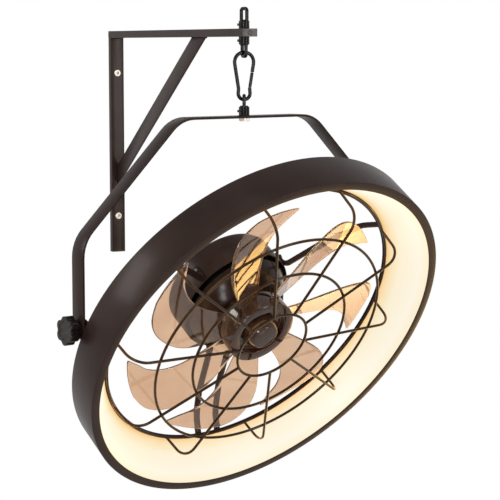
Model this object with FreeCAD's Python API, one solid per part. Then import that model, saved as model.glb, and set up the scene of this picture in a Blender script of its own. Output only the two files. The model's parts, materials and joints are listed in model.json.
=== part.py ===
# Wall fan with a ring light, hung from a wall bracket. Sizes are in millimetres, +Z is up.
# The wall is the plane Y = 0, the room lies at -Y, and the origin is midway between the two wall screws.
import FreeCAD, Part

import math
import os

V = FreeCAD.Vector
X_AXIS = V(1, 0, 0)
Y_AXIS = V(0, 1, 0)
Z_AXIS = V(0, 0, 1)

# Clearances shared by everything that fits together
RUNNING_FIT = 0.05
FACE_GAP = 0.1
LINK_GAP = 0.3
WELD = 0.5

# Wall bracket
BAR_WIDTH = 20.0
BAR_DEPTH = 10.0
BAR_WALL = 1.5
POST_LENGTH = 313.0
ARM_LENGTH = 454.2
PLUG_FLANGE = 1.5
PLUG_DEPTH = 10.0
PLUG_MARK_R = 2.4
PLUG_MARK_DEPTH = 0.5
SCREW_SPACING = 210.0
SCREW_BELOW_ARM = 51.0
EYELET_BORE_R = 2.5
EYELET_WALL = 1.0
EYELET_FLANGE_R = 4.8
EYELET_FLANGE = 0.8
BRACE_WIDTH = 24.0
BRACE_THICK = 3.0
BRACE_DROP = 186.4
BRACE_REACH = 271.0

# Hanger on the arm
HANG_FROM_TIP = 17.3
STEM_R = 4.8
COLLAR_R = 6.8
COLLAR_HEIGHT = 9.6
COLLAR_GROOVES = 4
COLLAR_GROOVE_DEPTH = 0.4
LOOP_ROD_R = 2.25
LOOP_WIDTH = 15.4
LOOP_BEND_R = 3.0
LOOP_NECK = 1.4
LOOP_NECK_R = 5.4
UPPER_LOOP_HEIGHT = 17.2
UPPER_LOOP_TURN = 13.0
LOWER_LOOP_HEIGHT = 16.9
SET_SCREW_R = 1.5
SET_SCREW_PROUD = 1.8
SET_SCREW_TURN = 154.0

# Snap hook
HOOK_WIRE_R = 2.3
HOOK_HEIGHT = 63.1
HOOK_WIDE_R = 15.4
HOOK_FLAT = 2.0
HOOK_PINCH_HALF = 7.7
HOOK_PINCH_UP = 13.4
HOOK_PINCH_R = 5.0
HOOK_FOOT_HALF = 8.9
HOOK_FOOT_R = 7.7
GATE_LOW_SHARE = 0.04
GATE_HIGH_SHARE = 0.66
GATE_R = 2.1
GATE_PIN_R = 0.8
TANG_THICK = 1.6

# Yoke
YOKE_WIDTH = 24.0
YOKE_THICK = 3.0
YOKE_INSIDE_DRUM = 5.0
YOKE_RISE = 246.6
YOKE_TOP_HALF = 103.5
YOKE_LEG = 103.5
YOKE_BEND_R = 45.0
YOKE_YAW = 11.9
YOKE_COLLAR_HEIGHT = 11.0
YOKE_LOOP_HEIGHT = 16.1
YOKE_LOOP_TURN = -25.9
YOKE_STEM_R = 4.0
YOKE_NUT_FLATS = 12.5
YOKE_NUT_HEIGHT = 4.0

# Tilting head: distances along its axis are counted forward from the tilt axis
TILT = 33.2
DRUM_BACK = 12.5
DRUM_DEPTH = 52.2
DRUM_WALL = 1.5
DRUM_EDGE_R = 1.4
LIP_WIDTH = 11.0
PLATE_INSIDE_GUARD = 3.0
DIFFUSER_OFF_GUARD = 0.7
DIFFUSER_WALL = 2.0
BOARD_OFF_DIFFUSER = 7.5
BOARD_WIDTH = 30.0
BOARD_THICK = 1.2
BOARD_INSIDE_DRUM = 6.0
CHIP_COUNT = 40
CHIP_SIZE = 3.5
CHIP_HEIGHT = 1.0

# Wire guard
WIRE_R = 1.8
GUARD_RING_SHARES = (0.28, 0.617, 0.905)
GUARD_FRONT = 68.2
GUARD_DOME = 5.6
GUARD_SPOKES = 10
GUARD_TURN = 2.2
GUARD_OFF_BLADES = 21.0
GUARD_FLARE = 4.0
GUARD_BEND_R = 24.0

# Motor and its cup
CUP_R = 76.0
CUP_WALL = 1.5
CUP_BACK = -65.0
CUP_FRONT = -20.0
CUP_EDGE_R = 6.0
SHAFT_R = 4.0
SHAFT_BACK_GAP = 1.5
BEARING_R = 9.0
BEARING_WIDTH = 6.0
TUBE_WALL = 3.0
TUBE_LENGTH = 36.0
STATOR_R = 40.0
STATOR_LENGTH = 22.0
STATOR_SLOTS = 12
STATOR_SLOT_WIDTH = 5.0
STATOR_FOOT = 4.0
BELL_R = 50.0
BELL_WALL = 3.5
BELL_AIR_GAP = 1.0
BELL_BOSS_R = 10.0
COVER_BACK_R = 70.0
COVER_FRONT_R = 52.0
COVER_FRONT = 10.0
COVER_BACK = -17.0
COVER_WALL = 2.0

# Impeller
HUB_R = 46.0
HUB_FRONT = 44.0
HUB_WALL = 2.2
HUB_RECESS_R = 33.0
HUB_RECESS_DEPTH = 9.0
HUB_BOSS_R = 9.0
CAP_R = 23.0
CAP_TOP_R = 17.0
CAP_FRONT = 53.0
BLADE_COUNT = 7
BLADE_TURN = 12.0
BLADE_R = 179.0
BLADE_THICK = 2.0
BLADE_CORNER_R = 5.0
BLADE_ROOT_PITCH = 21.8
BLADE_TIP_PITCH = 11.8
BLADE_CAMBER_R = 361.0
BLADE_ROOT_HEIGHT = 24.1
BLADE_MID_HEIGHT = 28.9
BLADE_TIP_HEIGHT = 28.5
BLADE_STATIONS = (-0.2, 0.2, 0.6, 1.1)
# Each edge point: its share of the way from the hub to the tip, and its angle from the blade's middle line
BLADE_LEADING = ((0.0, -8.0), (0.37, -6.8), (0.61, -9.2), (0.78, -13.9), (0.88, -19.1), (1.0, -24.3))
BLADE_TRAILING = ((1.0, -3.5), (0.95, 5.4), (0.81, 12.3), (0.53, 19.1), (0.13, 23.6), (0.0, 27.0))

# Arms that carry the motor cup in the drum
ARM_BAR_WIDTH = 8.0
ARM_BAR_THICK = 4.0
ARM_SET_TURN = 5.0
SIDE_ARM_SPREAD = 54.0
LOWER_ARM_OFFSET = 15.0
ARM_FOOT = 22.0
ARM_LEAVES_CUP = -22.0
ARM_ON_PLATE = 4.0
ARM_SCREW_SHARE = 0.7
# The arm's two middle bends: share of the blade radius, and height along the head's axis
ARM_KNEE = (0.816, -16.0)
ARM_ELBOW = (1.039, -5.0)
ARM_BENDS = (7.0, 90.0, 40.0, 9.0)
ARM_SCREW_R = 2.6
ARM_SCREW_HEAD = 1.6

# Tilt pivots and their knobs
EAR_THICK = 3.0
EAR_HALF = 12.0
EAR_FOOT = 27.0
EAR_SCREW_SHARE = 0.75
SPACER_R = 9.5
SPACER_LENGTH = 4.0
STUD_R = 4.0
PIVOT_NUT_FLATS = 13.0
PIVOT_NUT_HEIGHT = 6.5
STUD_PAST_NUT = 1.5
WASHER_R = 10.0
WASHER_THICK = 1.2
KNOB_R = 17.5
KNOB_HEAD = 11.0
KNOB_SKIRT_R = 12.0
KNOB_SKIRT = 6.7
KNOB_LOBES = 6
KNOB_LOBE_R = 5.5
KNOB_EDGE_R = 1.5

# Places that follow from the sizes
post_top = SCREW_SPACING / 2 + SCREW_BELOW_ARM
arm_top = post_top + BAR_DEPTH
hang_y = -(ARM_LENGTH + PLUG_FLANGE - HANG_FROM_TIP)
lower_collar_top = post_top - FACE_GAP
lower_collar_bottom = lower_collar_top - COLLAR_HEIGHT
lower_bar_z = lower_collar_bottom - LOWER_LOOP_HEIGHT + LOOP_ROD_R
hook_top_z = lower_bar_z + LOOP_ROD_R + LINK_GAP + HOOK_WIRE_R
hook_bottom_z = hook_top_z - (HOOK_HEIGHT - 2 * HOOK_WIRE_R)
yoke_loop_top = hook_bottom_z + HOOK_WIRE_R + LINK_GAP + 2 * LOOP_ROD_R
yoke_collar_top = yoke_loop_top - YOKE_LOOP_HEIGHT
yoke_top = yoke_collar_top - YOKE_COLLAR_HEIGHT
tilt_z = yoke_top - YOKE_RISE
guard_corner_r = BLADE_R + GUARD_OFF_BLADES
guard_base_r = guard_corner_r + GUARD_FLARE
plate_inner_r = guard_base_r - PLATE_INSIDE_GUARD
diffuser_back_r = guard_base_r + WIRE_R + DIFFUSER_OFF_GUARD
board_inner_r = diffuser_back_r + BOARD_OFF_DIFFUSER
drum_r = board_inner_r + BOARD_WIDTH + BOARD_INSIDE_DRUM
yoke_inner_half = drum_r - YOKE_INSIDE_DRUM
drum_front = DRUM_BACK + DRUM_DEPTH
plate_front = DRUM_BACK + DRUM_WALL
lip_back = drum_front - DRUM_WALL
lip_inner_r = drum_r - LIP_WIDTH
leg_outer = yoke_inner_half + YOKE_THICK
ear_outer = yoke_inner_half - FACE_GAP - SPACER_LENGTH
ear_inner = ear_outer - EAR_THICK

hang_place = FreeCAD.Placement(V(0, hang_y, 0), FreeCAD.Rotation())
yoke_place = FreeCAD.Placement(V(0, hang_y, tilt_z), FreeCAD.Rotation(Z_AXIS, YOKE_YAW))
head_place = yoke_place.multiply(FreeCAD.Placement(V(), FreeCAD.Rotation(X_AXIS, 90 + TILT)))

os.makedirs("parts", exist_ok=True)


def save(name, shape, place=None):
    """Write one piece, or a group of like pieces, set in its place."""
    piece = shape.copy()
    if place is not None:
        piece.Placement = place.multiply(piece.Placement)
    piece.exportStep("parts/" + name + ".step")
    print(name, len(piece.Solids), round(piece.Volume / 1000, 2), piece.isValid())


def cylinder(radius, low, high, axis=Z_AXIS, at=None):
    """A round bar along an axis, from one distance along it to another."""
    base = (at if at is not None else V()) + axis * low
    return Part.makeCylinder(radius, high - low, base, axis)


def tube(outer, inner, low, high, axis=Z_AXIS, at=None):
    """A round bar with a bore through it."""
    return cylinder(outer, low, high, axis, at).cut(cylinder(inner, low, high, axis, at))


def block(low, high):
    """A box between two corners."""
    size = high - low
    return Part.makeBox(size.x, size.y, size.z, low)


def revolved(points):
    """A ring or shell turned about Z from an outline of (radius, height) points."""
    corners = [V(radius, 0, height) for radius, height in points]
    outline = Part.makePolygon(corners + corners[:1])
    return Part.Face(outline).revolve(V(), Z_AXIS, 360)


def turned(shape, angle, axis=Z_AXIS):
    """A copy turned about an axis through the origin."""
    copy = shape.copy()
    copy.rotate(V(), axis, angle)
    return copy


def round_about(shape, count, first=0.0, axis=Z_AXIS):
    """Copies set evenly round an axis through the origin."""
    full_turn = 360.0
    return [turned(shape, first + full_turn * step / count, axis) for step in range(count)]


def bent_path(points, bends):
    """A wire of straight runs joined by tangent arcs, one bend radius for each inner point."""
    edges = []
    start = points[0]
    for before, corner, after, bend in zip(points, points[1:], points[2:], bends):
        into = (corner - before).normalize()
        out = (after - corner).normalize()
        turn = into.getAngle(out)
        reach = bend * math.tan(turn / 2)
        first = corner - into * reach
        last = corner + out * reach
        inward = (out - into).normalize()
        middle = corner + inward * (bend / math.cos(turn / 2) - bend)
        edges.append(Part.LineSegment(start, first).toShape())
        edges.append(Part.Arc(first, middle, last).toShape())
        start = last
    edges.append(Part.LineSegment(start, points[-1]).toShape())
    return Part.Wire(edges)


def rod(points, bends, radius):
    """Round wire bent along a path."""
    circle = Part.Circle(points[0], points[1] - points[0], radius).toShape()
    return bent_path(points, bends).makePipeShell([Part.Wire(circle)], True, False)


def strip(points, bends, thick, width):
    """Flat bar bent along a path in the XZ plane, its width along Y."""
    along = (points[1] - points[0]).normalize()
    half_thick = Y_AXIS.cross(along) * (thick / 2)
    half_width = Y_AXIS * (width / 2)
    at = points[0]
    corners = [at - half_thick - half_width, at + half_thick - half_width,
               at + half_thick + half_width, at - half_thick + half_width]
    section = Part.makePolygon(corners + corners[:1])
    return bent_path(points, bends).makePipeShell([section], True, False)


def hexagon_nut(flats, bore, low, high, axis):
    """A six-sided nut on an axis."""
    side = X_AXIS if axis == Z_AXIS else Z_AXIS
    other = axis.cross(side)
    reach = flats / math.sqrt(3)
    corners = []
    sides = 6
    for step in range(sides):
        angle = 2 * math.pi * step / sides
        corners.append(axis * low + side * (reach * math.cos(angle)) + other * (reach * math.sin(angle)))
    body = Part.Face(Part.makePolygon(corners + corners[:1])).extrude(axis * (high - low))
    return body.cut(cylinder(bore, low, high, axis))


# Wall post: a rectangular tube that stands on the wall, drilled through for two eyelets
post_bottom = post_top - POST_LENGTH
half_bar = BAR_WIDTH / 2
post = block(V(-half_bar, -BAR_DEPTH, post_bottom), V(half_bar, 0, post_top))
post_hollow = block(V(BAR_WALL - half_bar, BAR_WALL - BAR_DEPTH, post_bottom),
                    V(half_bar - BAR_WALL, -BAR_WALL, post_top))
post = post.cut(post_hollow)
eyelet_r = EYELET_BORE_R + EYELET_WALL
eyelets = []
for height in (-SCREW_SPACING / 2, SCREW_SPACING / 2):
    at = V(0, 0, height)
    post = post.cut(cylinder(eyelet_r + RUNNING_FIT, -BAR_DEPTH, 0, Y_AXIS, at))
    shank = cylinder(eyelet_r, -BAR_DEPTH, 0, Y_AXIS, at)
    flange = cylinder(EYELET_FLANGE_R, -BAR_DEPTH - EYELET_FLANGE, -BAR_DEPTH, Y_AXIS, at)
    bore = cylinder(EYELET_BORE_R, -BAR_DEPTH - EYELET_FLANGE, 0, Y_AXIS, at)
    eyelets.append(shank.fuse(flange).cut(bore).removeSplitter())
save("wall_post", post)
save("screw_eyelets", Part.makeCompound(eyelets))

# Arm: the same tube, welded across the top of the post and drilled for the hanger's stem
arm = block(V(-half_bar, -ARM_LENGTH, post_top), V(half_bar, 0, arm_top))
arm_hollow = block(V(BAR_WALL - half_bar, -ARM_LENGTH, post_top + BAR_WALL),
                   V(half_bar - BAR_WALL, 0, arm_top - BAR_WALL))
stem_hole = cylinder(STEM_R + RUNNING_FIT, post_top, arm_top, Z_AXIS, V(0, hang_y, 0))
arm = arm.cut(arm_hollow).cut(stem_hole)
save("arm_bar", arm)


def end_plug():
    """A moulded plug for the tube: a flange on its end and a tongue inside, along -Y from the origin."""
    room = BAR_WALL + FACE_GAP
    flange = block(V(-half_bar, -PLUG_FLANGE, -BAR_DEPTH / 2), V(half_bar, 0, BAR_DEPTH / 2))
    tongue = block(V(room - half_bar, 0, room - BAR_DEPTH / 2),
                   V(half_bar - room, PLUG_DEPTH, BAR_DEPTH / 2 - room))
    mark = cylinder(PLUG_MARK_R, -PLUG_FLANGE, PLUG_MARK_DEPTH - PLUG_FLANGE, Y_AXIS)
    return flange.fuse(tongue).cut(mark).removeSplitter()


arm_middle = post_top + BAR_DEPTH / 2
save("arm_end_plug", end_plug(), FreeCAD.Placement(V(0, -ARM_LENGTH, arm_middle), FreeCAD.Rotation()))
save("post_end_plug", end_plug(),
     FreeCAD.Placement(V(0, -BAR_DEPTH / 2, post_bottom), FreeCAD.Rotation(X_AXIS, 90)))

# Brace: a flat bar on edge between the post and the arm
brace_angle = math.atan2(BRACE_DROP, BRACE_REACH)
brace_low = post_top - BRACE_DROP
brace_far = -BAR_DEPTH - BRACE_REACH
brace_points = [V(-BRACE_THICK / 2, -BAR_DEPTH, brace_low),
                V(-BRACE_THICK / 2, brace_far, post_top),
                V(-BRACE_THICK / 2, brace_far - BRACE_WIDTH / math.sin(brace_angle), post_top),
                V(-BRACE_THICK / 2, -BAR_DEPTH, brace_low - BRACE_WIDTH / math.cos(brace_angle))]
brace = Part.Face(Part.makePolygon(brace_points + brace_points[:1])).extrude(X_AXIS * BRACE_THICK)
save("brace_bar", brace)


# Hanger on the arm: a stem with a grooved collar and an eye at each end
def collar(low, high, bore):
    """A round nut with grip grooves on the hanging axis, drilled from the side for its set screw."""
    outline = [(bore, low), (COLLAR_R, low)]
    half_pitch = (high - low) / (2 * COLLAR_GROOVES + 1)
    for step in range(COLLAR_GROOVES):
        ridge = low + half_pitch * (2 * step + 1)
        outline += [(COLLAR_R, ridge), (COLLAR_R - COLLAR_GROOVE_DEPTH, ridge + half_pitch / 2),
                    (COLLAR_R, ridge + half_pitch)]
    body = revolved(outline + [(COLLAR_R, high), (bore, high)])
    return body.cut(set_screw((low + high) / 2))


def set_screw(height):
    """A set screw in the side of a collar."""
    angle = math.radians(SET_SCREW_TURN)
    outward = V(math.cos(angle), math.sin(angle), 0)
    return cylinder(SET_SCREW_R, STEM_R, COLLAR_R + SET_SCREW_PROUD, outward, V(0, 0, height))


def eye_loop(height):
    """An eye of bent rod on a round neck, standing on the origin in the YZ plane."""
    middle = LOOP_WIDTH / 2 - LOOP_ROD_R
    crown = height - LOOP_ROD_R
    neck = cylinder(LOOP_NECK_R, 0, LOOP_NECK)
    bow = rod([V(0, -middle, 0), V(0, -middle, crown), V(0, middle, crown), V(0, middle, 0)],
              [LOOP_BEND_R, LOOP_BEND_R], LOOP_ROD_R)
    return neck.fuse(bow).removeSplitter()


upper_collar_low = arm_top + FACE_GAP
upper_collar_high = upper_collar_low + COLLAR_HEIGHT
save("hanger_stem", cylinder(STEM_R, lower_collar_bottom, upper_collar_high), hang_place)
save("upper_collar", collar(upper_collar_low, upper_collar_high, STEM_R), hang_place)
save("lower_collar", collar(lower_collar_bottom, lower_collar_top, STEM_R), hang_place)
save("upper_loop", eye_loop(UPPER_LOOP_HEIGHT),
     hang_place.multiply(FreeCAD.Placement(V(0, 0, upper_collar_high), FreeCAD.Rotation(Z_AXIS, UPPER_LOOP_TURN))))
save("lower_loop", eye_loop(LOWER_LOOP_HEIGHT),
     hang_place.multiply(FreeCAD.Placement(V(0, 0, lower_collar_bottom), FreeCAD.Rotation(X_AXIS, 180))))
save("hanger_set_screws", Part.makeCompound([set_screw((upper_collar_low + upper_collar_high) / 2),
                                             set_screw((lower_collar_bottom + lower_collar_top) / 2)]),
     hang_place)

# Snap hook: a pear of round wire in the XZ plane, pinched above its foot and open on one side for the gate
wide_r = HOOK_WIDE_R - HOOK_WIRE_R - HOOK_FLAT / 2
wide_middle = V(HOOK_FLAT / 2, 0, hook_top_z - wide_r)
pinch = V(HOOK_PINCH_HALF, 0, hook_bottom_z + HOOK_PINCH_UP)
to_middle = wide_middle - pinch
lean = math.atan2(to_middle.x, to_middle.z) + math.asin(wide_r / to_middle.Length)
gate_along = V(math.sin(lean), 0, math.cos(lean))
gate_run = math.sqrt(to_middle.Length ** 2 - wide_r ** 2)
gate_low = pinch + gate_along * (gate_run * GATE_LOW_SHARE)
gate_high = pinch + gate_along * (gate_run * GATE_HIGH_SHARE)
top_x = pinch.x + (hook_top_z - pinch.z) * math.tan(lean)
hook = rod([gate_high, V(top_x, 0, hook_top_z), V(-top_x, 0, hook_top_z), V(-pinch.x, 0, pinch.z),
            V(-HOOK_FOOT_HALF, 0, hook_bottom_z), V(HOOK_FOOT_HALF, 0, hook_bottom_z), pinch, gate_low],
           [wide_r, wide_r, HOOK_PINCH_R, HOOK_FOOT_R, HOOK_FOOT_R, HOOK_PINCH_R], HOOK_WIRE_R)
pin_at = gate_low + gate_along * (HOOK_WIRE_R + LINK_GAP)
gate_side = Y_AXIS.cross(gate_along)
tang_r = GATE_R - LINK_GAP
tang = cylinder(tang_r, -TANG_THICK / 2, TANG_THICK / 2, Y_AXIS, pin_at)
tang_root = [gate_low - gate_along * WELD - gate_side * tang_r, gate_low - gate_along * WELD + gate_side * tang_r,
             pin_at + gate_side * tang_r, pin_at - gate_side * tang_r]
tang_root = [corner - Y_AXIS * (TANG_THICK / 2) for corner in tang_root]
tang = tang.fuse(Part.Face(Part.makePolygon(tang_root + tang_root[:1])).extrude(Y_AXIS * TANG_THICK))
gate_pin = cylinder(GATE_PIN_R, -GATE_R, GATE_R, Y_AXIS, pin_at)
hook = hook.fuse(tang).removeSplitter().cut(gate_pin)
save("snap_hook", hook, hang_place)
save("gate_pin", gate_pin, hang_place)

# Gate: a round bar slotted over the hook's tang, rounded about its pin
gate_length = (gate_high - pin_at).Length - LINK_GAP
gate = cylinder(GATE_R, 0, gate_length, gate_along, pin_at)
gate = gate.fuse(Part.makeSphere(GATE_R, pin_at))
slot_half = TANG_THICK / 2 + FACE_GAP
slot_reach = GATE_R + LINK_GAP
slot = cylinder(slot_reach, -slot_half, slot_half, Y_AXIS, pin_at)
gate = gate.cut(slot).cut(cylinder(GATE_PIN_R + RUNNING_FIT, -GATE_R, GATE_R, Y_AXIS, pin_at))
save("hook_gate", gate.removeSplitter(), hang_place)

# Yoke: one flat bar bent round the head, with rounded ends drilled for the tilt studs
leg_middle = yoke_inner_half + YOKE_THICK / 2
yoke_crown = YOKE_RISE - YOKE_THICK / 2
yoke_points = [V(-leg_middle, 0, 0), V(-leg_middle, 0, YOKE_LEG), V(-YOKE_TOP_HALF, 0, yoke_crown),
               V(YOKE_TOP_HALF, 0, yoke_crown), V(leg_middle, 0, YOKE_LEG), V(leg_middle, 0, 0)]
yoke = strip(yoke_points, [YOKE_BEND_R] * 4, YOKE_THICK, YOKE_WIDTH)
for low, high in ((-leg_outer, -yoke_inner_half), (yoke_inner_half, leg_outer)):
    yoke = yoke.fuse(cylinder(YOKE_WIDTH / 2, low, high, X_AXIS))
yoke = yoke.removeSplitter()
for low, high in ((-leg_outer, -yoke_inner_half), (yoke_inner_half, leg_outer)):
    yoke = yoke.cut(cylinder(STUD_R + RUNNING_FIT, low, high, X_AXIS))
yoke = yoke.cut(cylinder(YOKE_STEM_R + RUNNING_FIT, YOKE_RISE - YOKE_THICK, YOKE_RISE))
save("yoke_bar", yoke, yoke_place)

# Yoke hanger: stem, nut below the bar, grooved collar and eye above it
yoke_nut_top = YOKE_RISE - YOKE_THICK
yoke_stem = cylinder(YOKE_STEM_R, yoke_nut_top - YOKE_NUT_HEIGHT, YOKE_RISE + YOKE_COLLAR_HEIGHT)
save("yoke_stem", yoke_stem, yoke_place)
save("yoke_nut", hexagon_nut(YOKE_NUT_FLATS, YOKE_STEM_R, yoke_nut_top - YOKE_NUT_HEIGHT, yoke_nut_top, Z_AXIS),
     yoke_place)
save("yoke_collar", collar(yoke_top, yoke_collar_top, YOKE_STEM_R), hang_place)
save("yoke_set_screw", set_screw((yoke_top + yoke_collar_top) / 2), hang_place)
save("yoke_loop", eye_loop(YOKE_LOOP_HEIGHT),
     FreeCAD.Placement(V(0, hang_y, yoke_collar_top), FreeCAD.Rotation(Z_AXIS, YOKE_LOOP_TURN)))

# Drum: a deep rolled hoop with a turned-in front lip
drum = revolved([(drum_r - DRUM_WALL, DRUM_BACK), (drum_r, DRUM_BACK), (drum_r, drum_front),
                 (lip_inner_r, drum_front), (lip_inner_r, lip_back), (drum_r - DRUM_WALL, lip_back)])
front_edges = [edge for edge in drum.Edges
               if abs(edge.BoundBox.ZMin - drum_front) < FACE_GAP and edge.BoundBox.XMax > drum_r - FACE_GAP]
drum = drum.makeFillet(DRUM_EDGE_R, front_edges[:1])
save("drum_shell", drum, head_place)

# Back plate: the flat ring that closes the back of the drum
plate_r = drum_r - DRUM_WALL - FACE_GAP
plate = tube(plate_r, plate_inner_r, DRUM_BACK, plate_front)
save("back_plate", plate, head_place)

# Light diffuser: a cone from the plate to the lip
diffuser_slant = math.atan2(lip_back - plate_front, lip_inner_r - diffuser_back_r)
diffuser_step = DIFFUSER_WALL / math.sin(diffuser_slant)
diffuser = revolved([(diffuser_back_r, plate_front), (diffuser_back_r + diffuser_step, plate_front),
                     (lip_inner_r + diffuser_step, lip_back), (lip_inner_r, lip_back)])
save("light_diffuser", diffuser, head_place)

# Light board: a ring of circuit board on the plate, with its chips in a circle
board_front = plate_front + BOARD_THICK
save("light_board", tube(board_inner_r + BOARD_WIDTH, board_inner_r, plate_front, board_front), head_place)
chip_r = board_inner_r + BOARD_WIDTH / 2
half_chip = CHIP_SIZE / 2
chip = block(V(chip_r - half_chip, -half_chip, board_front),
             V(chip_r + half_chip, half_chip, board_front + CHIP_HEIGHT))
save("light_chips", Part.makeCompound(round_about(chip, CHIP_COUNT)), head_place)

# Wire guard: three front rings on bent spokes that run back to a base ring on the plate
base_z = plate_front + WIRE_R
guard = Part.makeTorus(guard_base_r, WIRE_R, V(0, 0, base_z), Z_AXIS)
ring_radii = [share * BLADE_R for share in GUARD_RING_SHARES]
dome_slope = GUARD_DOME / (guard_corner_r - ring_radii[0])
rings = [Part.makeTorus(ring_radii[0], WIRE_R, V(0, 0, GUARD_FRONT), Z_AXIS)]
for radius in ring_radii[1:]:
    spoke_z = GUARD_FRONT - dome_slope * (radius - ring_radii[0])
    rings.append(Part.makeTorus(radius, WIRE_R, V(0, 0, spoke_z - (2 * WIRE_R - WELD)), Z_AXIS))
spoke = rod([V(ring_radii[0] + WIRE_R / 2, 0, GUARD_FRONT), V(guard_corner_r, 0, GUARD_FRONT - GUARD_DOME),
             V(guard_base_r, 0, base_z)], [GUARD_BEND_R], WIRE_R)
guard = guard.multiFuse(rings + round_about(spoke, GUARD_SPOKES, GUARD_TURN)).removeSplitter()
save("guard_cage", guard, head_place)

# Motor cup: a drawn can, open at the front
cup_floor = CUP_BACK + CUP_WALL
cup_inner_r = CUP_R - CUP_WALL
cup = cylinder(CUP_R, CUP_BACK, CUP_FRONT)
back_edges = [edge for edge in cup.Edges if abs(edge.BoundBox.ZMax - CUP_BACK) < FACE_GAP]
cup = cup.makeFillet(CUP_EDGE_R, back_edges[:1])
hollow = cylinder(cup_inner_r, cup_floor, CUP_FRONT)
hollow_edges = [edge for edge in hollow.Edges if abs(edge.BoundBox.ZMax - cup_floor) < FACE_GAP]
cup = cup.cut(hollow.makeFillet(CUP_EDGE_R - CUP_WALL, hollow_edges[:1]))
save("motor_cup", cup, head_place)

# Motor: bearing tube, two bearings, slotted stator, outer rotor bell and shaft
tube_front = cup_floor + TUBE_LENGTH
tube_r = BEARING_R + TUBE_WALL
save("bearing_tube", tube(tube_r, BEARING_R, cup_floor, tube_front), head_place)
rear_bearing_low = cup_floor + SHAFT_BACK_GAP
save("rear_bearing", tube(BEARING_R, SHAFT_R + RUNNING_FIT, rear_bearing_low, rear_bearing_low + BEARING_WIDTH),
     head_place)
save("front_bearing", tube(BEARING_R, SHAFT_R + RUNNING_FIT, tube_front - BEARING_WIDTH, tube_front), head_place)
stator_low = cup_floor + STATOR_FOOT
stator_high = stator_low + STATOR_LENGTH
stator = tube(STATOR_R, tube_r, stator_low, stator_high)
groove = block(V((tube_r + STATOR_R) / 2, -STATOR_SLOT_WIDTH / 2, stator_low),
               V(STATOR_R + STATOR_SLOT_WIDTH, STATOR_SLOT_WIDTH / 2, stator_high))
for slot in round_about(groove, STATOR_SLOTS):
    stator = stator.cut(slot)
save("stator", stator, head_place)

bell_inner_r = STATOR_R + BELL_AIR_GAP
bell_front = tube_front + FACE_GAP + BELL_WALL
shaft_low = cup_floor + FACE_GAP
recess_floor = HUB_FRONT - HUB_RECESS_DEPTH
bell = revolved([(SHAFT_R, bell_front - BELL_WALL), (bell_inner_r, bell_front - BELL_WALL),
                 (bell_inner_r, stator_low), (BELL_R, stator_low), (BELL_R, bell_front),
                 (SHAFT_R, bell_front)])
save("rotor_bell", bell, head_place)
save("motor_shaft", cylinder(SHAFT_R, shaft_low, recess_floor), head_place)

# Rotor cover: a dark cone on the shaft between the motor and the impeller
cover_plate = COVER_FRONT - COVER_WALL
cover_slant = math.atan2(COVER_FRONT - COVER_BACK, COVER_BACK_R - COVER_FRONT_R)
cover_step = COVER_WALL / math.sin(cover_slant)
cover_inner_front = COVER_FRONT_R - cover_step + COVER_WALL / math.tan(cover_slant)
cover = revolved([(SHAFT_R, bell_front), (BELL_BOSS_R, bell_front), (BELL_BOSS_R, cover_plate),
                  (cover_inner_front, cover_plate), (COVER_BACK_R - cover_step, COVER_BACK),
                  (COVER_BACK_R, COVER_BACK), (COVER_FRONT_R, COVER_FRONT), (SHAFT_R, COVER_FRONT)])
save("rotor_cover", cover, head_place)


# Impeller: one moulding of hub and swept, twisted blades
blade_span = BLADE_R - HUB_R


def blade_section(share):
    """The closed outline of the twisted, hollowed slab at one share of the way from the hub to the tip."""
    radius = HUB_R + blade_span * share
    root_slope = math.tan(math.radians(BLADE_ROOT_PITCH))
    tip_slope = math.tan(math.radians(BLADE_TIP_PITCH))
    slope = root_slope + (tip_slope - root_slope) * share
    height = (BLADE_ROOT_HEIGHT * (1 - share) * (1 - 2 * share) + BLADE_MID_HEIGHT * 4 * share * (1 - share)
              + BLADE_TIP_HEIGHT * share * (2 * share - 1))
    reach = BLADE_R * math.sin(math.radians(BLADE_TRAILING[-1][1] - BLADE_LEADING[-1][1]))
    hollow = reach ** 2 / (2 * BLADE_CAMBER_R)
    half = V(0, -slope, 1).normalize() * (BLADE_THICK / 2)
    low_end = V(radius, -reach, height - reach * slope + hollow)
    middle = V(radius, 0, height)
    high_end = V(radius, reach, height + reach * slope + hollow)
    front = Part.Arc(low_end + half, middle + half, high_end + half).toShape()
    back = Part.Arc(high_end - half, middle - half, low_end - half).toShape()
    return Part.Wire([front, Part.LineSegment(high_end + half, high_end - half).toShape(), back,
                      Part.LineSegment(low_end - half, low_end + half).toShape()])


def on_blade(share, angle):
    """A point of the blade's outline on the head's front plane."""
    radius = HUB_R - HUB_WALL / 2 if share == 0 else HUB_R + blade_span * share
    return V(radius * math.cos(math.radians(angle)), radius * math.sin(math.radians(angle)), 0)


def smooth_edge(points):
    """A smooth curve through a few points."""
    curve = Part.BSplineCurve()
    curve.interpolate(points)
    return curve.toShape()


leading = [on_blade(share, angle) for share, angle in BLADE_LEADING]
trailing = [on_blade(share, angle) for share, angle in BLADE_TRAILING]
tip_middle = on_blade(1.0, (BLADE_LEADING[-1][1] + BLADE_TRAILING[0][1]) / 2)
planform = Part.Wire([smooth_edge(leading), Part.Arc(leading[-1], tip_middle, trailing[0]).toShape(),
                      smooth_edge(trailing), Part.LineSegment(trailing[-1], leading[0]).toShape()])
blade_room = Part.Face(planform).extrude(Z_AXIS * GUARD_FRONT)
corner_edges = [edge for edge in blade_room.Edges
                if all((V(vertex.X, vertex.Y, 0) - leading[-1]).Length < FACE_GAP for vertex in edge.Vertexes)]
blade_room = blade_room.makeFillet(BLADE_CORNER_R, corner_edges)
slab = Part.makeLoft([blade_section(share) for share in BLADE_STATIONS], True, False)
blade = slab.common(blade_room)

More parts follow.
